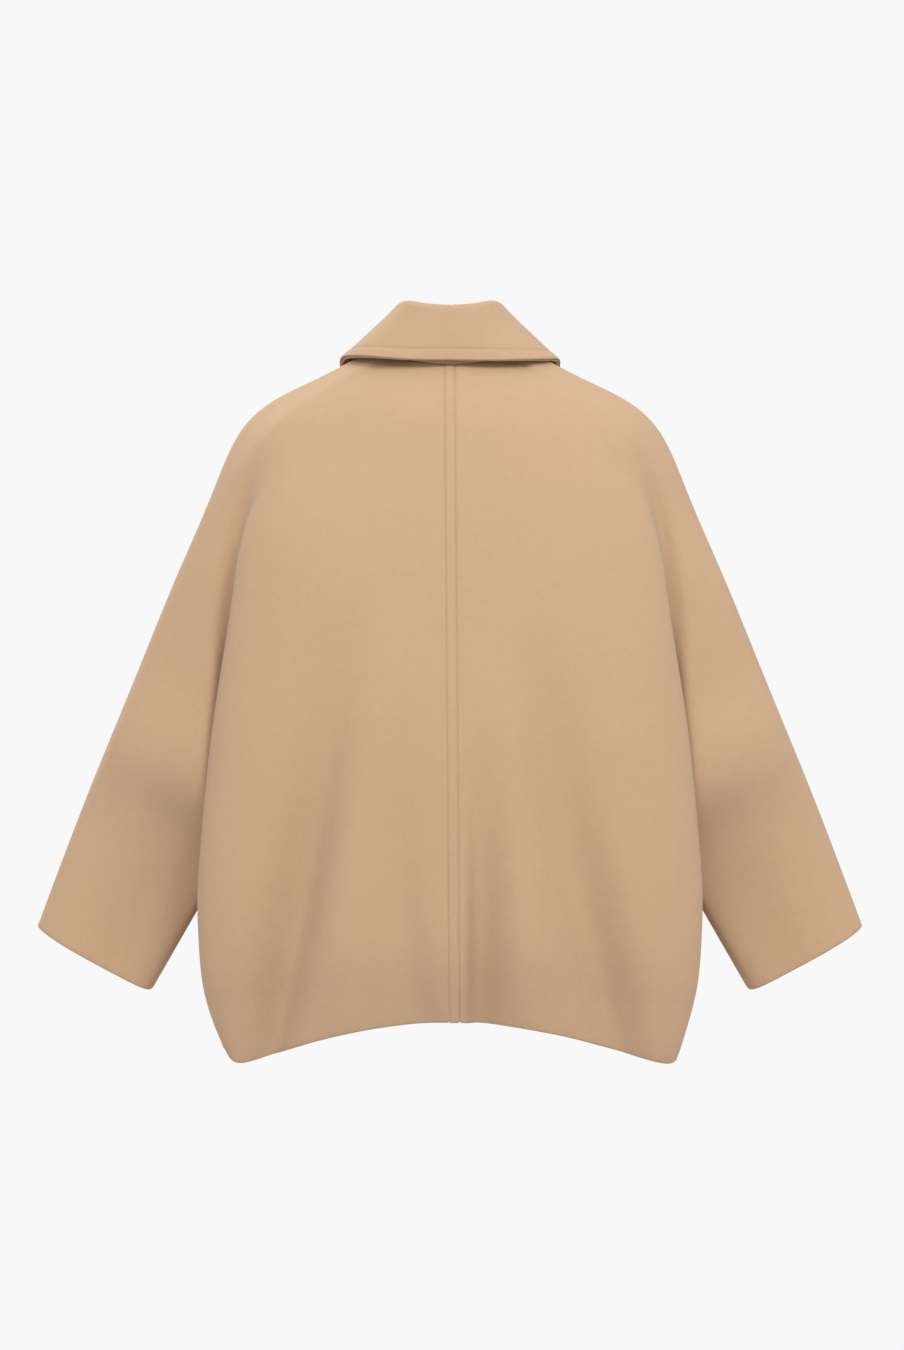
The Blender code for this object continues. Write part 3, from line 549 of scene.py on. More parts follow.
def hanging_folds(piece, folds):
    """How far the folds stand out at each point: a bell across each fold's line, deeper down the coat
    and flat beside the middle seam or the lap, the side seam and on the sleeve."""
    x, z = piece["points"][:, 0], piece["points"][:, 2]
    out = np.zeros(len(x))
    for row in folds:
        fold = dict(zip(FOLD_COLUMNS, row))
        heights = MM * np.array([fold["low_z"], fold["mid_z"], fold["top_z"]])
        places = MM * np.array([fold["low_x"], fold["mid_x"], fold["top_x"]])
        path = np.polyval(np.polyfit(heights, places, 2), z)
        width = MM * np.where(np.abs(x) < np.abs(path), fold["inner"], fold["outer"])
        down = (heights[2] - z) / (heights[2] - heights[0])
        out += fold["depth"] * MM * bell(x - path, width) * ease(down / FOLD_FADE)
    left_flat = FRONT_LAP if piece["side"] < 0 else piece["hand"] * seam_x(z)
    beside_seam = np.zeros(len(x))
    for numbers in piece["nets"][:2]:
        columns = piece["seam_column"] - np.arange(numbers.shape[1])
        beside_seam[numbers] = ease(columns / COLUMNS_SIDE - FOLD_CLEAR)
    return out * ease((x * piece["hand"] - left_flat) / SEAM_CALM) * beside_seam


def half_panels(names, levels, valleys, side, near, folds):
    """The left and right panel of one pair, with their folds still to be raised."""
    pieces = []
    for name, hand in zip(names, (1, -1)):
        points, nets, seam_column = panel_net(half_surface(levels, valleys, side, hand, near))
        faces = np.concatenate([cells(numbers, side * hand < 0) for numbers in nets])
        pieces.append({"name": name, "points": points, "nets": nets, "faces": faces, "side": side,
                       "hand": hand, "seam_column": seam_column, "folds": folds[name]})
    return pieces


panels = half_panels(("back_left", "back_right"), BACK_LEVELS, BACK_VALLEY, 1, NEAR_BACK, BACK_FOLDS)


# The front halves ------------------------------------------------------------------------------------
# Two half fronts of the same wool, each in one with the front half of its sleeve. The right one laps
# over the left by 30 mm each side of the centre, and its edge is topstitched.

NEAR_FRONT = MM * np.array([0, 4, 8, 12, 16, 18.5, 20, 21, 21.6, 22, 22.4, 23, 24, 25.5, 27, 28.2, 29.2, 30])
FRONT_LEVELS = {
    "neck": (0, 3, -76, -80, 54, -53.5, -40, 40),
    "yoke": (90, 3, -104, -125, 108, -76, -85, 36),
    "shoulder": (175, 2, -120, -175, 172, -86, -135, 38),
    "fold_top": (235, 3, -130, -225, 205, -84, -180, 62),
    "chest": (335, 4, -141, -295, 226, -86, -272, 88),
    "waist": (470, 3, -148, -410, 247, -90, -400, 90),
    "gusset": (575, 3, -146, -508, 262, -86, -505, 90),
    "underarm": (610, 2, -143, -550, 268, -84, -550, 90),
    "side": (655, 2, -139, -592, 271, -77, -597, 90),
    "full": (710, 2, -132, -638, 270, -68, -650, 90),
    "low": (785, 2, -117, -690, 264, -56, -715, 90),
    "hem": (840, 0, -100, -733, 248, -44, -771, 90),
}
FRONT_VALLEY = {
    "neck": (0, 62, -44, -30, 50),
    "yoke": (90, 122, -63, -72, 45),
    "shoulder": (175, 189, -70, -122, 47),
    "fold_top": (235, 213, -68, -174, 60),
    "chest": (335, 223, -62, -270, 50),
    "waist": (470, 240, -50, -398, 35),
    "gusset": (575, 243, -32, -510, 5),
    "underarm": (610, 240, -14, -550, 0),
}
FRONT_FOLDS = {
    "front_left": (
        (118, -270, 148, -540, 190, -760, 27, 34, -25),
        (82, -260, 96, -520, 104, -750, 28, 28, 8),
        (52, -400, 58, -600, 54, -740, 22, 22, -8),
    ),
    "front_right": (
        (-112, -290, -142, -530, -180, -760, 32, 27, -23),
        (-80, -340, -90, -580, -98, -750, 26, 26, 8),
        (-56, -450, -60, -640, -64, -740, 20, 20, -7),
    ),
}
panels += half_panels(("front_left", "front_right"), FRONT_LEVELS, FRONT_VALLEY, -1, NEAR_FRONT,
                      FRONT_FOLDS)

# Where the cloth rolls into a seam it sinks this far over this width
SEAM_SINK = 1.0 * MM
SEAM_ROLL = 1.5 * MM
STITCH_FROM_EDGE = 11.3 * MM   # the line of stitching beside the centre back
STITCH_SINK = 0.75 * MM
STITCH_WIDTH = 1.3 * MM
WELT_RISE = 0.45 * MM          # the allowances under the cloth between seam and stitching
WELT_BEGINS = 3 * MM
WELT_ENDS = 2 * MM
FRONT_STITCH = 8 * MM          # the groove of a front's stitching, from its edge
MIDDLE_COLUMNS = {1: 40, -1: 60}   # columns that the relief of the middle reaches: backs, fronts
ROLL_COLUMNS = 12              # and those that it reaches beside every other seam
HEM_WIDTH = 36 * MM            # hem and cuffs are turned up inside by this much
HEM_STEP = 5 * MM
HEM_LAYER = 1.6 * MM


def relief(piece, surface):
    """How far seams and stitching stand out: a groove at each seam and each line of stitching, and a
    low welt where the allowances lie under the cloth."""
    upper, lower_body, lower_sleeve = piece["nets"]
    out = np.zeros(len(surface))
    start = seam_x(surface[:, 2]) if piece["side"] > 0 else 0
    x = (surface[:, 0] - start) * piece["hand"]
    columns = MIDDLE_COLUMNS[piece["side"]]
    middle = np.unique(np.concatenate([grid[:, :columns].ravel() for grid in (upper, lower_body)]))
    x = x[middle]
    if piece["side"] < 0:
        out[middle] -= STITCH_SINK * bell(x + FRONT_LAP - FRONT_STITCH, STITCH_WIDTH)
    else:
        out[middle] -= SEAM_SINK * bell(x, SEAM_ROLL)
        if piece["hand"] > 0:
            out[middle] += WELT_RISE * ease(x / WELT_BEGINS) * ease((STITCH_FROM_EDGE - x) / WELT_ENDS)
            out[middle] -= STITCH_SINK * bell(x - STITCH_FROM_EDGE, STITCH_WIDTH)
    for numbers, column, step in ((upper, -1, -1), (lower_sleeve, -1, -1), (lower_sleeve, 0, 1),
                                  (lower_body, -1, -1)):
        edge = surface[numbers[:, column]]
        for k in range(ROLL_COLUMNS):
            near = numbers[:, column + step * k]
            away = size(surface[near] - edge)[:, 0]
            out[near] -= SEAM_SINK * bell(away, SEAM_ROLL) * (out[near] > -SEAM_SINK / 2)
    return out


def open_seams(piece, surface):
    """Draws a panel's seam edges back by half the gap between sewn pieces."""
    upper, lower_body, lower_sleeve = piece["nets"]
    front_to_back = np.unique(np.concatenate([upper[:, -1], lower_sleeve[1:, -1], lower_sleeve[:, 0],
                                              lower_body[1:, -1]]))
    surface[front_to_back, 1] += piece["side"] * SEAM_GAP / 2
    centre_back = np.zeros(0, int)
    if piece["side"] > 0:
        centre_back = np.unique(np.concatenate([upper[:, 0], lower_body[:, 0]]))
        surface[centre_back, 0] += piece["hand"] * SEAM_GAP / 2
    return np.unique(np.concatenate([front_to_back, centre_back, upper[0]]))


def turned_up(piece):
    """Share of a second layer at each point: one within the hem's width of the hem and the cuff."""
    share = np.zeros(len(piece["points"]))
    for numbers in piece["nets"][1:]:
        steps = size(np.diff(piece["points"][numbers], axis=0))[:, :, 0]
        to_edge = np.concatenate([np.cumsum(steps[::-1], axis=0)[::-1], np.zeros((1, numbers.shape[1]))])
        share[numbers] = np.maximum(share[numbers], ease((HEM_WIDTH - to_edge) / HEM_STEP))
    beside_lap = np.abs(piece["points"][:, 0]) - FRONT_LAP - SEAM_ROLL
    return share * (ease(beside_lap / HEM_STEP) if piece["side"] < 0 else 1)


def edges_out(points, faces):
    """Directed edges round a sheet, and at each of their points the way out of the sheet's edge."""
    starts = faces.ravel()
    ends = np.roll(faces, -1, axis=1).ravel()
    count = len(points)
    alone = ~np.isin(starts * count + ends, ends * count + starts)
    middles = np.repeat(points[faces].mean(axis=1), faces.shape[1], axis=0)[alone]
    a, b = starts[alone], ends[alone]
    out = (points[a] + points[b]) / 2 - middles
    along = unit(points[b] - points[a])
    out = unit(out - dot(out, along) * along)
    away = np.zeros_like(points)
    np.add.at(away, a, out)
    np.add.at(away, b, out)
    return a, b, unit(away)


EDGE_STEPS = 4                 # faces round the edge of the cloth
SEWN_ROUND = 0.3 * MM          # how far a sewn edge still bulges


def wall(outer, inner, faces, sewn):
    """Points and faces of a closed sheet. Round an edge the points go half a turn from the outside to
    the inside, nearly flat where the edge is sewn to another."""
    a, b, away = edges_out(outer, faces)
    half = size(outer - inner) / 2
    half[sewn] = SEWN_ROUND
    count = len(outer)
    rim = np.unique(a)
    number = np.full(count, -1)
    number[rim] = np.arange(len(rim))
    points = [outer, inner]
    rings = [np.arange(count)]
    for turn in np.pi * even(EDGE_STEPS)[1:-1]:
        middle = (outer + inner) / 2 + np.cos(turn) * (outer - inner) / 2
        points.append((middle + np.sin(turn) * half * away)[rim])
        rings.append(2 * count + len(rim) * (len(rings) - 1) + number)
    rings.append(count + np.arange(count))
    closed = [faces, faces[:, ::-1] + count]
    for first, second in zip(rings, rings[1:]):
        closed.append(np.stack([first[b], first[a], second[a], second[b]], axis=-1))
    return np.concatenate(points), np.concatenate(closed)


class Worth:
    """A node's output in a sum: arithmetic on it adds Math nodes."""

    def __init__(self, finish, socket):
        self.finish, self.socket = finish, socket

    def joined(self, operation, first, second):
        node = self.finish.node("ShaderNodeMath", {"operation": operation}, {0: first, 1: second})
        return Worth(self.finish, node.outputs[0])

    def __add__(self, other):
        return self.joined("ADD", self, other)

    __radd__ = __add__

    def __sub__(self, other):
        return self.joined("SUBTRACT", self, other)

    def __mul__(self, other):
        return self.joined("MULTIPLY", self, other)

    __rmul__ = __mul__


class Finish:
    """A material whose nodes are added one call at a time."""

    def __init__(self, name, **constants):
        self.material = bpy.data.materials.new(name)
        self.material.use_nodes = True
        self.tree = self.material.node_tree
        self.shader = self.tree.nodes["Principled BSDF"]
        for key, value in constants.items():
            self.shader.inputs[key.replace("_", " ")].default_value = value

    def node(self, kind, settings=None, inputs=None):
        """Adds a node: its settings first, then the values or links of its sockets."""
        node = self.tree.nodes.new(kind)
        for key, value in (settings or {}).items():
            setattr(node, key, value)
        for key, value in (inputs or {}).items():
            if isinstance(value, Worth):
                self.tree.links.new(value.socket, node.inputs[key])
            else:
                node.inputs[key].default_value = value
        return node

    def noise(self, vector, scale, detail=2.0, roughness=0.5):
        """Cloudy values about one half."""
        node = self.node("ShaderNodeTexNoise", {}, {"Vector": vector, "Scale": scale, "Detail": detail,
                                                     "Roughness": roughness})
        return Worth(self, node.outputs["Fac"])

    def between(self, factor, first, second):
        """A colour from the first to the second."""
        node = self.node("ShaderNodeMix", {"data_type": "RGBA", "clamp_factor": True},
                         {0: factor, 6: (*first, 1), 7: (*second, 1)})
        return Worth(self, node.outputs[2])

    def wear(self, socket, value):
        """Feeds one of the shader's own sockets."""
        self.tree.links.new(value.socket, self.shader.inputs[socket])


def felted_wool(name, dark, light):
    """Milled camel wool: fibres lie mostly across the piece, under a soft mottle and a low nap."""
    wool = Finish(name, Roughness=0.92, Sheen_Weight=0.12, Sheen_Roughness=0.6, Specular_IOR_Level=0.15)
    place = Worth(wool, wool.node("ShaderNodeTexCoord").outputs["Object"])
    grain = Worth(wool, wool.node("ShaderNodeUVMap", {"uv_map": "grain"}).outputs["UV"])
    lain = wool.node("ShaderNodeMapping", {}, {"Vector": grain, "Scale": (1, 2.6, 1)})
    fibres = wool.noise(Worth(wool, lain.outputs[0]), scale=480, roughness=0.55)
    felt = wool.noise(place, scale=800, roughness=0.6)
    clumps = wool.noise(place, scale=110)
    cloud = wool.noise(place, scale=7, detail=1)
    shade = 0.5 + 0.8 * (fibres - 0.5) + 0.9 * (felt - 0.5) + 0.35 * (clumps - 0.5) + 0.3 * (cloud - 0.5)
    wool.wear("Base Color", wool.between(shade, dark, light))
    height = 0.6 * fibres + 0.5 * felt + 0.3 * clumps
    bump = wool.node("ShaderNodeBump", {}, {"Strength": 0.4, "Distance": 0.0005, "Height": height})
    wool.wear("Normal", Worth(wool, bump.outputs[0]))
    return wool.material


camel = felted_wool("camel_felted_wool", (0.43, 0.278, 0.166), (0.51, 0.342, 0.212))


def lay_grain(thing, grain):
    """Gives every corner the place of its point on the cloth, in metres. The two faces of a piece have the
    same grain, and its edge has none."""
    places = np.zeros((len(thing.data.vertices), 2), np.float32)
    places[:2 * len(grain)] = np.concatenate([grain, grain])
    layer = thing.data.uv_layers.new(name="grain")
    corners = np.zeros(len(thing.data.loops), np.int32)
    thing.data.loops.foreach_get("vertex_index", corners)
    layer.data.foreach_set("uv", places[corners].ravel())


def grain_of(piece):
    """Across and down the cloth for each point of a panel: the run along its row, and down its first
    column."""
    grain = np.zeros((len(piece["points"]), 2))
    for order, numbers in enumerate(piece["nets"]):
        run = np.cumsum(size(np.diff(piece["points"][numbers], axis=1))[:, :, 0], axis=1)
        down = np.cumsum(size(np.diff(piece["points"][numbers[:, 0]], axis=0))[:, 0])
        begin, top = grain[numbers[0, 0]] if order else (0.0, 0.0)
        grain[numbers[:, 1:], 0] = begin + run
        grain[numbers[:, 0], 0] = begin
        grain[numbers[1:], 1] = top + down[:, None]
    return grain


def cloth_area(points, faces):
    """Area of one face of a piece, from the diagonals of its four-sided faces."""
    corners = points[faces]
    return float(size(np.cross(corners[:, 2] - corners[:, 0], corners[:, 3] - corners[:, 1])).sum() / 2)


places = shared_places(panels)
for piece, normals in zip(panels, shared_normals(panels, places)):
    level = unit(normals * (1, 1, 0))
    piece["points"] = piece["points"] + hanging_folds(piece, piece["folds"])[:, None] * level

for piece, normals in zip(panels, shared_normals(panels, places)):
    outer = piece["points"]
    normals[piece["nets"][0][-1, piece["seam_column"]]] = np.array(UNDERARM_OUT) * (piece["hand"], 1, 1)
    if piece["side"] < 0:
        own_side = outer[:, 0] * piece["hand"]
        step = LAP_STEP * (1 - ease((own_side - FRONT_LAP) / LAP_FADE))
        outer = outer - (piece["hand"] * step)[:, None] * normals
    inner = outer - (WOOL + HEM_LAYER * turned_up(piece))[:, None] * normals
    outer = outer + relief(piece, outer)[:, None] * normals
    for surface in (outer, inner):
        sewn = open_seams(piece, surface)
    piece["outer"], piece["inner"], piece["normals"] = outer, inner, normals
    cloth = put(piece["name"] + "_cloth", *wall(outer, inner, piece["faces"], sewn), camel)
    lay_grain(cloth, grain_of(piece))
    area = cloth_area(outer, piece["faces"])
    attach(cloth, "root")
    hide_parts(piece["name"])


def joined(grids):
    """Tubes of six sides as one list of points and faces, each closed round and at both ends."""
    numbers = numbered(*grids.shape[:3])
    round_on = np.roll(numbers, -1, axis=2)
    walls = np.stack([numbers[:, :-1], round_on[:, :-1], round_on[:, 1:], numbers[:, 1:]], axis=-1)
    ends = [numbers[:, 0, [3, 2, 1, 0]], numbers[:, 0, [5, 4, 3, 0]],
            numbers[:, -1, [0, 1, 2, 3]], numbers[:, -1, [0, 3, 4, 5]]]
    return grids.reshape(-1, 3), np.concatenate([walls.reshape(-1, 4)] + ends)


STITCH_ALONG = (0, 0.14, 0.5, 0.86, 1)      # places of the rings along a stitch
STITCH_LIFT = (-0.8, 0.15, 0.45, 0.15, -0.8)
STITCH_SPAN = (0.08, 0.5, 0.92)             # where a stitch starts, is halfway and ends, in its pitch
THREAD_END = 0.4                            # size of a thread's first and last ring


def bars(starts, ends, up, thread, along=STITCH_ALONG, lift=STITCH_LIFT):
    """Threads of six sides from each start to each end: a ring at each place along, lifted by shares of
    the thread's radius and smaller at the ends, so both ends go into the cloth."""
    middle = starts[:, None] + (ends - starts)[:, None] * np.array(along)[:, None]
    radius = thread * np.array([THREAD_END] + [1] * (len(along) - 2) + [THREAD_END])[:, None]
    side = unit(np.cross(up, ends - starts))
    turn = np.pi / 3 * np.arange(6)
    rise = thread * np.array(lift)[:, None] + radius * np.sin(turn)
    return joined(middle[:, :, None] + rise[None, :, :, None] * up[:, None, None]
                  + (radius * np.cos(turn))[None, :, :, None] * side[:, None, None])


def run_of(path):
    """How far along a path each of its points is."""
    return np.concatenate([[0], np.cumsum(size(np.diff(path, axis=0)))])


def placed(at, run, path):
    """The points, or directions, at given runs along a path."""
    return np.stack([np.interp(at, run, path[:, i]) for i in range(3)], axis=-1)


def stitches(path, outward, pitch, thread):
    """A row of stitches along a path, one bar to each pitch."""
    run = run_of(path)
    at = (np.arange(int(run[-1] / pitch)) + np.array(STITCH_SPAN)[:, None]) * pitch
    starts, _, ends = placed(at, run, path)
    return bars(starts, ends, unit(placed(at[1], run, outward)), thread)


THREAD_SHADE = 0.86            # of the colour, between the twists of the thread


def sewing_thread(name, colour):
    """Soft spun thread, a little smoother than the wool."""
    thread = Finish(name, Roughness=0.7, Sheen_Weight=0.1, Specular_IOR_Level=0.3)
    place = Worth(thread, thread.node("ShaderNodeTexCoord").outputs["Object"])
    twist = thread.noise(place, scale=2400, detail=1)
    thread.wear("Base Color", thread.between(twist, [THREAD_SHADE * part for part in colour], colour))
    return thread.material


CAMEL_THREAD = (0.50, 0.335, 0.205)
STITCH_PITCH = 4.2 * MM
THREAD = 0.34 * MM
camel_thread = sewing_thread("camel_thread", CAMEL_THREAD)
STITCHED_ROWS = slice(2, -3)   # the lines stop short of the neck and the hem
STITCHED = (                   # name, panel, its columns beside the middle, and the line's place in them
    ("centre_back_stitching", panels[0], NEAR_BACK, STITCH_FROM_EDGE),
    ("front_edge_stitching", panels[3], NEAR_FRONT, FRONT_LAP - FRONT_STITCH),
)
for name, panel, near, offset in STITCHED:
    column = int(np.argmin(np.abs(near - offset)))
    if panel["side"] < 0:
        column = len(near) - 1 - column
    upper, lower_body = panel["nets"][:2]
    numbers = np.concatenate([upper[:, column], lower_body[1:, column]])[STITCHED_ROWS]
    row = put(name, *stitches(panel["outer"][numbers], panel["normals"][numbers], STITCH_PITCH, THREAD),
              camel_thread)
    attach(row, "root")


# The collar ------------------------------------------------------------------------------------------
# Two layers of the same wool, sewn together round the outer edge and topstitched 11.5 mm inside it. The
# stand rises from the neck seam, and the leaf rolls over it and falls on the shoulders.

COLLAR_LAYER = 2.2 * MM
COLLAR_ROLL = 5.6 * MM
COLLAR_END = 2 * MM
COLLAR_PULL = 0.4
COLLAR_COLUMNS = ("along", "fold_x", "fold_y", "fold_z", "edge_x", "edge_y", "edge_z", "lean", "lift")
COLLAR_STATIONS = (
    (0.00, 0, 57, 43.5, 0, 71, -14, 0.5, 0),
    (0.12, 25, 51, 45.5, 42, 68, -14.5, 0.5, 1),
    (0.26, 42, 35, 49, 84, 51, -13, 0.5, 3),
    (0.38, 50, 12, 46, 110, 20, -11, 0.5, 3),
    (0.47, 52, -8, 38, 119, -10, -12, 0.5, 1),
    (0.62, 49, -34, 19, 113, -58, -38, 0.5, 0),
    (0.79, 35, -56, -9, 92, -98, -75, 0.45, 0),
    (0.94, 15, -69, -32, 68, -120, -105, 0.25, 0),
    (1.00, 3, -71, -34, 58, -123, -111, 0.15, 0),
)
COLLAR_SEATS = ((0, 0.95), (0.1, 1.0), (0.26, 1.7), (0.43, 2.1), (0.6, 1.9), (1, 1.9))
COLLAR_HALF_COLUMNS = 120
STAND_ROWS = 18
ROLL_ROWS = 14
LEAF_ROWS = 56
COLLAR_STITCH = 11.5 * MM      # the line of stitching, from the leaf's edge
COLLAR_STITCH_SINK = 0.9 * MM
COLLAR_SEAM_X = -2.2 * MM      # the faint line down the middle of the leaf at the back
COLLAR_SEAM_SINK = 0.3 * MM
COLLAR_SEAM_WIDTH = 0.9 * MM
COLLAR_NEAR = (0.0042, 0.0125)
COLLAR_WELT_RISE = 0.5 * MM
COLLAR_WELT_ENDS = 2.5 * MM
LIFTED = (0, 0.4, 1)           # which way the left side of the leaf is lifted
LEAF_START = STAND_ROWS + ROLL_ROWS
END_COLUMNS = 40               # columns at each end of the collar that its end stitching lies in
CORNER = 5                     # the column, or row, this far in says where the stitching turns
FAR_AWAY = 1.0
NEAREST_PARTS = 24


def neckline(pieces):
    """Middle of the cloth along the neck edge, from the centre of the back to the centre front."""
    back, front = pieces[0], pieces[2]
    middles = [piece["points"] - WOOL / 2 * piece["normals"] for piece in (back, front)]
    back_edge = middles[0][back["nets"][0][0]]
    centre = placed([0], back_edge[:, 0], back_edge)
    back_edge = np.concatenate([centre, back_edge[back_edge[:, 0] > MM]])
    front_edge = middles[1][front["nets"][0][0][len(NEAR_FRONT) - 1:]]
    return np.concatenate([back_edge, front_edge[-2::-1]])


def collar_surface(pieces):
    """The sheet between the collar's layers. Each column is a straight stand that bends into a half
    circle square to the fold line, and a leaf that bends out of it to the edge."""
    edge_line = neckline(pieces)
    run = run_of(edge_line)
    along = np.unique(np.concatenate([even(COLLAR_HALF_COLUMNS), COLLAR_NEAR]))
    foot = placed(along * (run[-1] - COLLAR_END), run, edge_line)
    seat = MM * np.interp(along, *np.transpose(COLLAR_SEATS))
    halves = {}
    for hand in (1, -1):
        columns = read(COLLAR_STATIONS, COLLAR_COLUMNS, along)
        fold = line(columns, "fold_")
        edge = line(columns, "edge_")
        if hand > 0:
            edge = edge + MM * columns["lift"][:, None] * LIFTED
        halves[hand] = [part * (hand, 1, 1) for part in (foot, fold, edge)]
    foot, fold, edge = (np.concatenate([halves[-1][i][:0:-1], halves[1][i]]) for i in range(3))
    lean, seat = (np.concatenate([half[:0:-1], half])[:, None] for half in (columns["lean"], seat))

    tangent = unit(np.gradient(fold, axis=0))
    rise = fold - (1 - lean) * foot - lean * edge
    rise = unit(rise - dot(rise, tangent) * tangent)
    out = np.cross(rise, tangent)
    centre = fold - COLLAR_ROLL * rise
    stand_foot = foot + seat * unit(fold - foot)
    stand_top = centre - COLLAR_ROLL * out
    leaf_top = centre + COLLAR_ROLL * out
    pull = COLLAR_PULL * size(stand_top - stand_foot)
    stand = bezier(stand_foot, stand_foot + pull * unit(stand_top - stand_foot),
                   stand_top - pull * rise, stand_top, even(STAND_ROWS))
    angle = np.pi * even(ROLL_ROWS)[1:-1]
    roll = (centre[:, None] - COLLAR_ROLL * np.cos(angle)[None, :, None] * out[:, None]
            + COLLAR_ROLL * np.sin(angle)[None, :, None] * rise[:, None])
    pull = COLLAR_PULL * size(edge - leaf_top)
    leaf = bezier(leaf_top, leaf_top - pull * rise, edge - pull * unit(edge - leaf_top), edge,
                  even(LEAF_ROWS))
    return np.concatenate([stand, roll, leaf], axis=1)


def nearest(points, path):
    """Distance from each point to the nearest point of a path."""
    return np.concatenate([size(part[:, None] - path[None])[:, :, 0].min(axis=1)
                           for part in np.array_split(points, NEAREST_PARTS)])


collar = collar_surface(panels)
collar_points = collar.reshape(-1, 3)
collar_numbers = numbered(*collar.shape[:2])
collar_faces = cells(collar_numbers, True)
collar_normals = shared_normals([{"points": collar_points, "faces": collar_faces}],
                                np.arange(len(collar_points)))[0]
outer_edge = np.concatenate([collar[0, LEAF_START:], collar[:, -1], collar[-1, LEAF_START:]])
from_edge = nearest(collar_points, outer_edge)
from_edge[collar_numbers[:, :LEAF_START].ravel()] = FAR_AWAY
collar_relief = (COLLAR_WELT_RISE * ease((COLLAR_STITCH - from_edge) / COLLAR_WELT_ENDS)
                 - COLLAR_STITCH_SINK * bell(from_edge - COLLAR_STITCH, STITCH_WIDTH)
                 - COLLAR_SEAM_SINK * bell(collar_points[:, 0] - COLLAR_SEAM_X, COLLAR_SEAM_WIDTH)
                 * (collar_points[:, 1] > 0))
collar_drop = np.cumsum(size(np.diff(collar, axis=1, prepend=collar[:, :1]))[:, :, 0], axis=1)
collar_across = np.broadcast_to(run_of(collar[:, -1])[:, None], collar_drop.shape)
collar_grain = np.stack([collar_across, collar_drop], axis=-1).reshape(-1, 2)
collar_foot = collar_numbers[:, 0]
for name, side in (("upper_collar", 1), ("under_collar", -1)):
    near = collar_points + side * SEAM_GAP / 2 * collar_normals
    far = collar_points + side * (SEAM_GAP / 2 + COLLAR_LAYER + collar_relief)[:, None] * collar_normals
    outer, inner = (far, near) if side > 0 else (near, far)
    cloth = put(name + "_cloth", *wall(outer, inner, collar_faces, collar_foot), camel)
    lay_grain(cloth, collar_grain)
    area = cloth_area(outer, collar_faces)
    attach(cloth, "root")
    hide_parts(name)
    if side > 0:
        collar_outer = outer.reshape(collar.shape)


def stitched_line(shape, ways_out):
    """The line on the leaf at the stitching's distance from its edge: down one end, along the outer edge
    and up the other end."""
    columns, rows = np.arange(shape.shape[0]), np.arange(LEAF_START, shape.shape[1])
    to_edge, to_start, to_end = (nearest(collar_points, path).reshape(shape.shape[:2])
                                 for path in (collar[:, -1], collar[0, LEAF_START:], collar[-1, LEAF_START:]))
    near = columns[:END_COLUMNS]
    down = [(np.interp(COLLAR_STITCH, to_start[near, row], near), row) for row in rows
            if to_edge[CORNER, row] > COLLAR_STITCH]
    along = [(column, np.interp(COLLAR_STITCH, to_edge[column, LEAF_START:][::-1], rows[::-1]))
             for column in columns if min(to_start[column, -CORNER], to_end[column, -CORNER]) > COLLAR_STITCH]
    up = [(columns[-1] - np.interp(COLLAR_STITCH, to_end[-1 - near, row], near), row)
          for row in rows[::-1] if to_edge[-1 - CORNER, row] > COLLAR_STITCH]
    places = np.array(down + along + up)
    first = np.minimum(places.astype(int), np.array(shape.shape[:2]) - 2)
    share = (places - first)[:, :, None]
    lines = []
    for grid in (shape, ways_out):
        near, next_row, next_column, far = (grid[first[:, 0] + i, first[:, 1] + j]
                                            for i, j in ((0, 0), (0, 1), (1, 0), (1, 1)))
        lines.append((1 - share[:, 0]) * ((1 - share[:, 1]) * near + share[:, 1] * next_row)
                     + share[:, 0] * ((1 - share[:, 1]) * next_column + share[:, 1] * far))
    return lines


leaf_line, leaf_out = stitched_line(collar_outer, collar_normals.reshape(collar.shape))
row = put("collar_stitching", *stitches(leaf_line, unit(leaf_out), STITCH_PITCH, THREAD), camel_thread)
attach(row, "root")


# The buttons -----------------------------------------------------------------------------------------
# Four turned horn buttons with a raised rim and four holes, sewn on with a thread shank. Each passes
# through a bound hole in the upper front, which shows beyond its rim.

BUTTON_RADIUS = 14 * MM
BUTTON_THICKNESS = 4.2 * MM
BUTTON_HEIGHTS = (-125 * MM, -245 * MM, -365 * MM, -485 * MM)
BUTTON_SIDES = 80
BUTTON_FACE = 0.62             # height of the sunk face, in thicknesses
# From the middle of the face over the rim to the middle of the back, in radii and thicknesses
BUTTON_PROFILE = ((0, BUTTON_FACE), (0.3, BUTTON_FACE), (0.5, BUTTON_FACE), (0.62, BUTTON_FACE),
                  (0.7, 0.72), (0.78, 0.9), (0.86, 1.0), (0.93, 0.97), (0.985, 0.84), (1.0, 0.66),
                  (1.0, 0.36), (0.97, 0.16), (0.9, 0.03), (0.8, 0), (0.4, 0), (0, 0))
BUTTON_RINGS = 60
BUTTON_FIT_X = -8 * MM         # middle of the cloth that carries a button
BUTTON_FIT_REACH = 24 * MM
BUTTON_RESTS_IN = 1.2          # button radii around it whose cloth it rests on
HOLE_PLACE = 3.1 * MM / np.sqrt(2)   # of each hole's middle, across and up from the button's
HOLE_RADIUS = 1.25 * MM
HOLE_DEPTH = 2.2 * MM
HOLE_LIP = (0.3 * MM, 0.5 * MM)      # how far inside its radius a hole's lip begins, and its width
BUTTON_THREAD = 0.36 * MM
STRAND_APART = 0.3 * MM        # of two strands in one pair of holes, each from their middle
STRAND_ALONG = (0, 0.12, 0.5, 0.88, 1)
STRAND_LIFT = (-4, 0.4, 0.8, 0.4, -4)
SLIT_ENDS = (4 * MM, -26 * MM)  # from the button's middle, towards the front edge and away from it
SLIT_HALF_WIDTH = 0.5 * MM
BOUND_WIDTH = 2.0 * MM
BOUND_PITCH = 0.57 * MM
BOUND_THREAD = 0.3 * MM
BOUND_TURN = 9                 # bars round each end of a bound hole
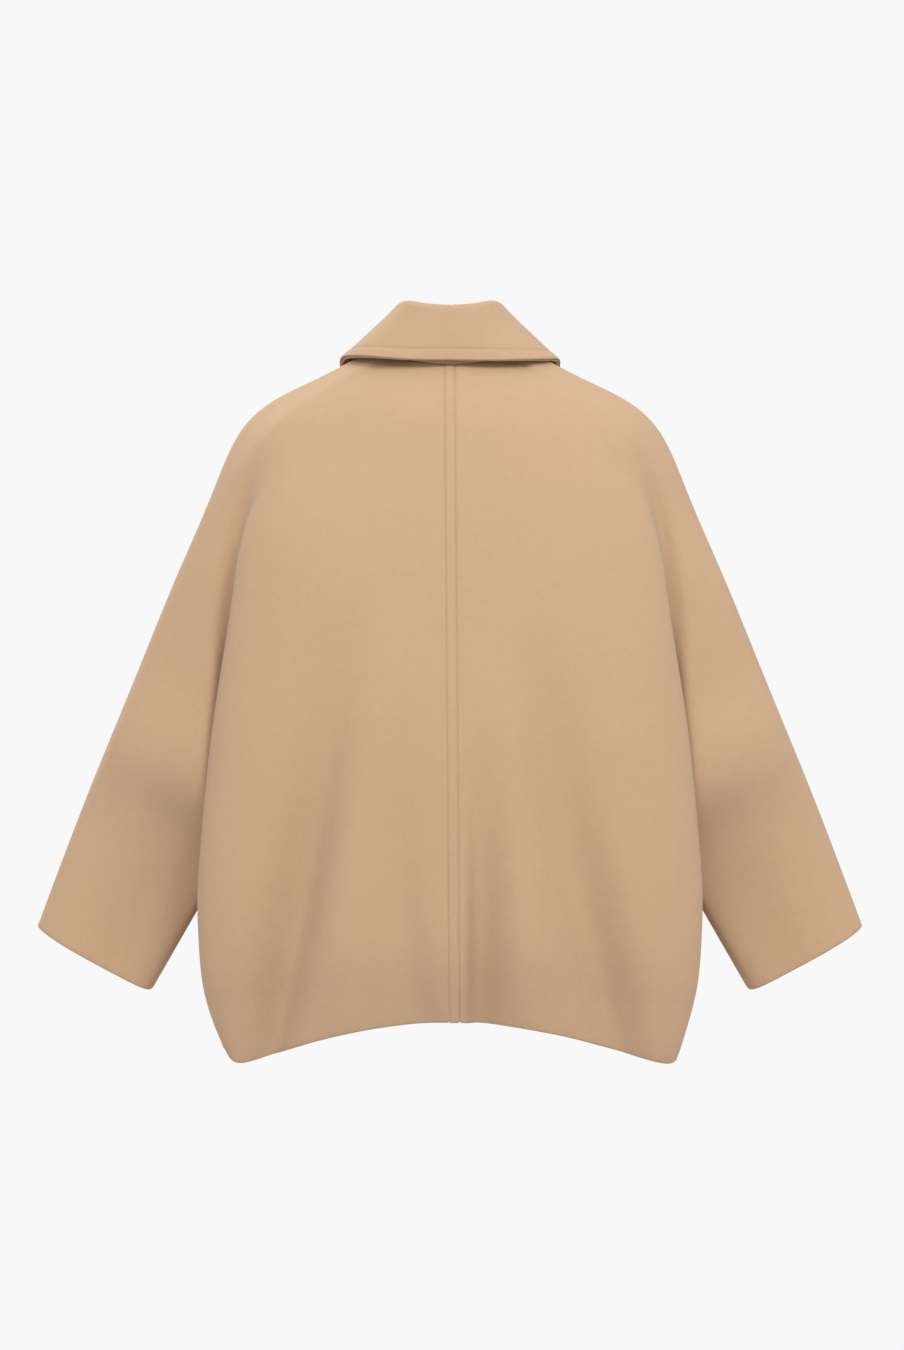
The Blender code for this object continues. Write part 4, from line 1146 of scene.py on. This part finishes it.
BOUND_LIFT = (-0.8, 0, 0.1, 0, -0.8)
SHANK = 0.35 * MM              # the thread holds the button this far off the hole's bars
SHANK_RADIUS = 1.8 * MM
SHANK_SUNK = 1 * MM            # how far the shank goes into the cloth and into the button
SHANK_ALONG = (0, 0.2, 0.5, 0.8, 1)


def button_surface(u, v):
    """A turned shape: v goes from the face's middle over the rim to the back's middle, u runs round, and
    four round wells are sunk in the face."""
    knots = np.linspace(0, 1, len(BUTTON_PROFILE))
    r, h = (np.interp(v, knots, values) for values in np.transpose(BUTTON_PROFILE))
    x, y = (BUTTON_RADIUS * r * turn(2 * np.pi * u) for turn in (np.cos, np.sin))
    z = BUTTON_THICKNESS * h
    well = np.hypot(np.abs(x) - HOLE_PLACE, np.abs(y) - HOLE_PLACE)
    lip, width = HOLE_LIP
    z = z - HOLE_DEPTH * (1 - ease((well - HOLE_RADIUS + lip) / width)) * (v < 0.5)
    return np.stack([x, y, z], axis=-1)


def turned_net(rings, sides):
    """Faces of a turned shape whose first and last ring are one point each."""
    numbers = numbered(rings, sides, start=1)
    round_on = np.roll(numbers, -1, axis=1)
    walls = np.stack([numbers[:-1], numbers[1:], round_on[1:], round_on[:-1]], axis=-1).reshape(-1, 4)
    caps = []
    for ring, pole in ((numbers[0], 0), (numbers[-1][::-1], 1 + rings * sides)):
        caps.append(np.stack([np.full(sides // 2, pole), ring[0::2], ring[1::2], np.roll(ring, -2)[0::2]],
                             axis=-1))
    return np.concatenate([walls] + caps)


def polished_horn(name, dark, light):
    """Dark horn with lighter streaks that run across the button, and an unevenly worn polish."""
    horn = Finish(name, Roughness=0.3, Specular_IOR_Level=0.5, Coat_Weight=0.15, Coat_Roughness=0.2)
    place = Worth(horn, horn.node("ShaderNodeTexCoord").outputs["Object"])
    drawn = horn.node("ShaderNodeMapping", {}, {"Vector": place, "Scale": (1, 1, 5),
                                                "Rotation": (0, 0.5, 0)})
    streaks = horn.noise(Worth(horn, drawn.outputs[0]), scale=90, detail=3, roughness=0.6)
    fleck = horn.noise(place, scale=900, detail=1)
    horn.wear("Base Color", horn.between(1.9 * (streaks - 0.25) + 0.3 * (fleck - 0.5), dark, light))
    horn.wear("Roughness", 0.22 + 0.2 * fleck)
    return horn.material


def cloth_at(piece, x, z):
    """A function of x and z that gives the places and the ways out of the cloth around a point: the
    curved surface of second degree that fits its points best."""
    points = piece["outer"]
    near = points[np.hypot(points[:, 0] - x, points[:, 2] - z) < BUTTON_FIT_REACH]
    near = near[near[:, 1] < 0]

    def powers(a, b):
        return np.stack([0 * a + 1, a, b, a * a, a * b, b * b], axis=-1)

    terms = np.linalg.lstsq(powers(near[:, 0] - x, near[:, 2] - z), near[:, 1], rcond=None)[0]

    def surface(at_x, at_z):
        a, b = at_x - x, at_z - z
        y = powers(a, b) @ terms
        out = np.stack([terms[1] + 2 * terms[3] * a + terms[4] * b, 0 * a - 1,
                        terms[2] + terms[4] * a + 2 * terms[5] * b], axis=-1)
        return np.stack([at_x, y, at_z], axis=-1), unit(out)

    return surface


horn = polished_horn("dark_horn", (0.03, 0.014, 0.007), (0.16, 0.08, 0.036))
dark_thread = sewing_thread("brown_thread", (0.16, 0.09, 0.05))
front = panels[3]
rings = np.linspace(0, 1, BUTTON_RINGS + 2)
sides = np.arange(BUTTON_SIDES) / BUTTON_SIDES
turned = button_surface(*np.meshgrid(sides, rings[1:-1]))
turned = np.concatenate([button_surface(np.zeros(1), rings[:1]), turned.reshape(-1, 3),
                         button_surface(np.zeros(1), rings[-1:])])
for number, height in enumerate(BUTTON_HEIGHTS, 1):
    node = "button_%d" % number
    surface = cloth_at(front, BUTTON_FIT_X, height)
    (place,), (out,) = surface(np.zeros(1), np.full(1, height))
    near = front["outer"][size(front["outer"] - place)[:, 0] < BUTTON_RESTS_IN * BUTTON_RADIUS]
    proud = max(0.0, dot(near - place, out).max())
    across = unit(np.cross((0, 0, 1), out))
    frame_of_button = np.array([across, np.cross(out, across), out])
    seat = place + (SEAM_GAP + proud + SHANK) * out
    button = put(node + "_horn", turned @ frame_of_button + seat, turned_net(BUTTON_RINGS, BUTTON_SIDES),
                 horn)
    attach(button, "root")
    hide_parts(node)

    strands = np.array([side * HOLE_PLACE + shift for side in (-1, 1)
                        for shift in (-STRAND_APART, STRAND_APART)])
    face = np.full(len(strands), BUTTON_FACE * BUTTON_THICKNESS)
    starts, ends = (np.stack([0 * face + x, strands, face], axis=-1) @ frame_of_button + seat
                    for x in (-HOLE_PLACE, HOLE_PLACE))
    points, faces = bars(starts, ends, np.broadcast_to(out, starts.shape), BUTTON_THREAD, STRAND_ALONG,
                         STRAND_LIFT)
    shank, shank_faces = bars((place - SHANK_SUNK * out)[None], (seat + SHANK_SUNK * out)[None],
                              across[None], SHANK_RADIUS, SHANK_ALONG, np.zeros(len(SHANK_ALONG)))
    sewn = put(node + "_thread", np.concatenate([points, shank]),
               np.concatenate([faces, shank_faces + len(points)]), dark_thread)
    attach(sewn, "root")

    # The bound hole: bars of thread side by side along both lips of the slit and round its ends
    lip = np.arange(SLIT_ENDS[1], SLIT_ENDS[0], BOUND_PITCH)
    bend = even(BOUND_TURN + 1)[1:-1]
    along = np.concatenate([lip, 0 * bend + SLIT_ENDS[0], lip[::-1], 0 * bend + SLIT_ENDS[1]])
    way = np.pi * np.concatenate([0 * lip + 0.5, 0.5 - bend, 0 * lip - 0.5, -0.5 - bend])
    (inside, _), (outside, _), (_, ways) = (
        surface(along + width * np.cos(way), height + width * np.sin(way))
        for width in (SLIT_HALF_WIDTH, SLIT_HALF_WIDTH + BOUND_WIDTH, SLIT_HALF_WIDTH + BOUND_WIDTH / 2))
    hole = put("buttonhole_%d" % number, *bars(inside, outside, ways, BOUND_THREAD, lift=BOUND_LIFT),
               camel_thread)
    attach(hole, "root")
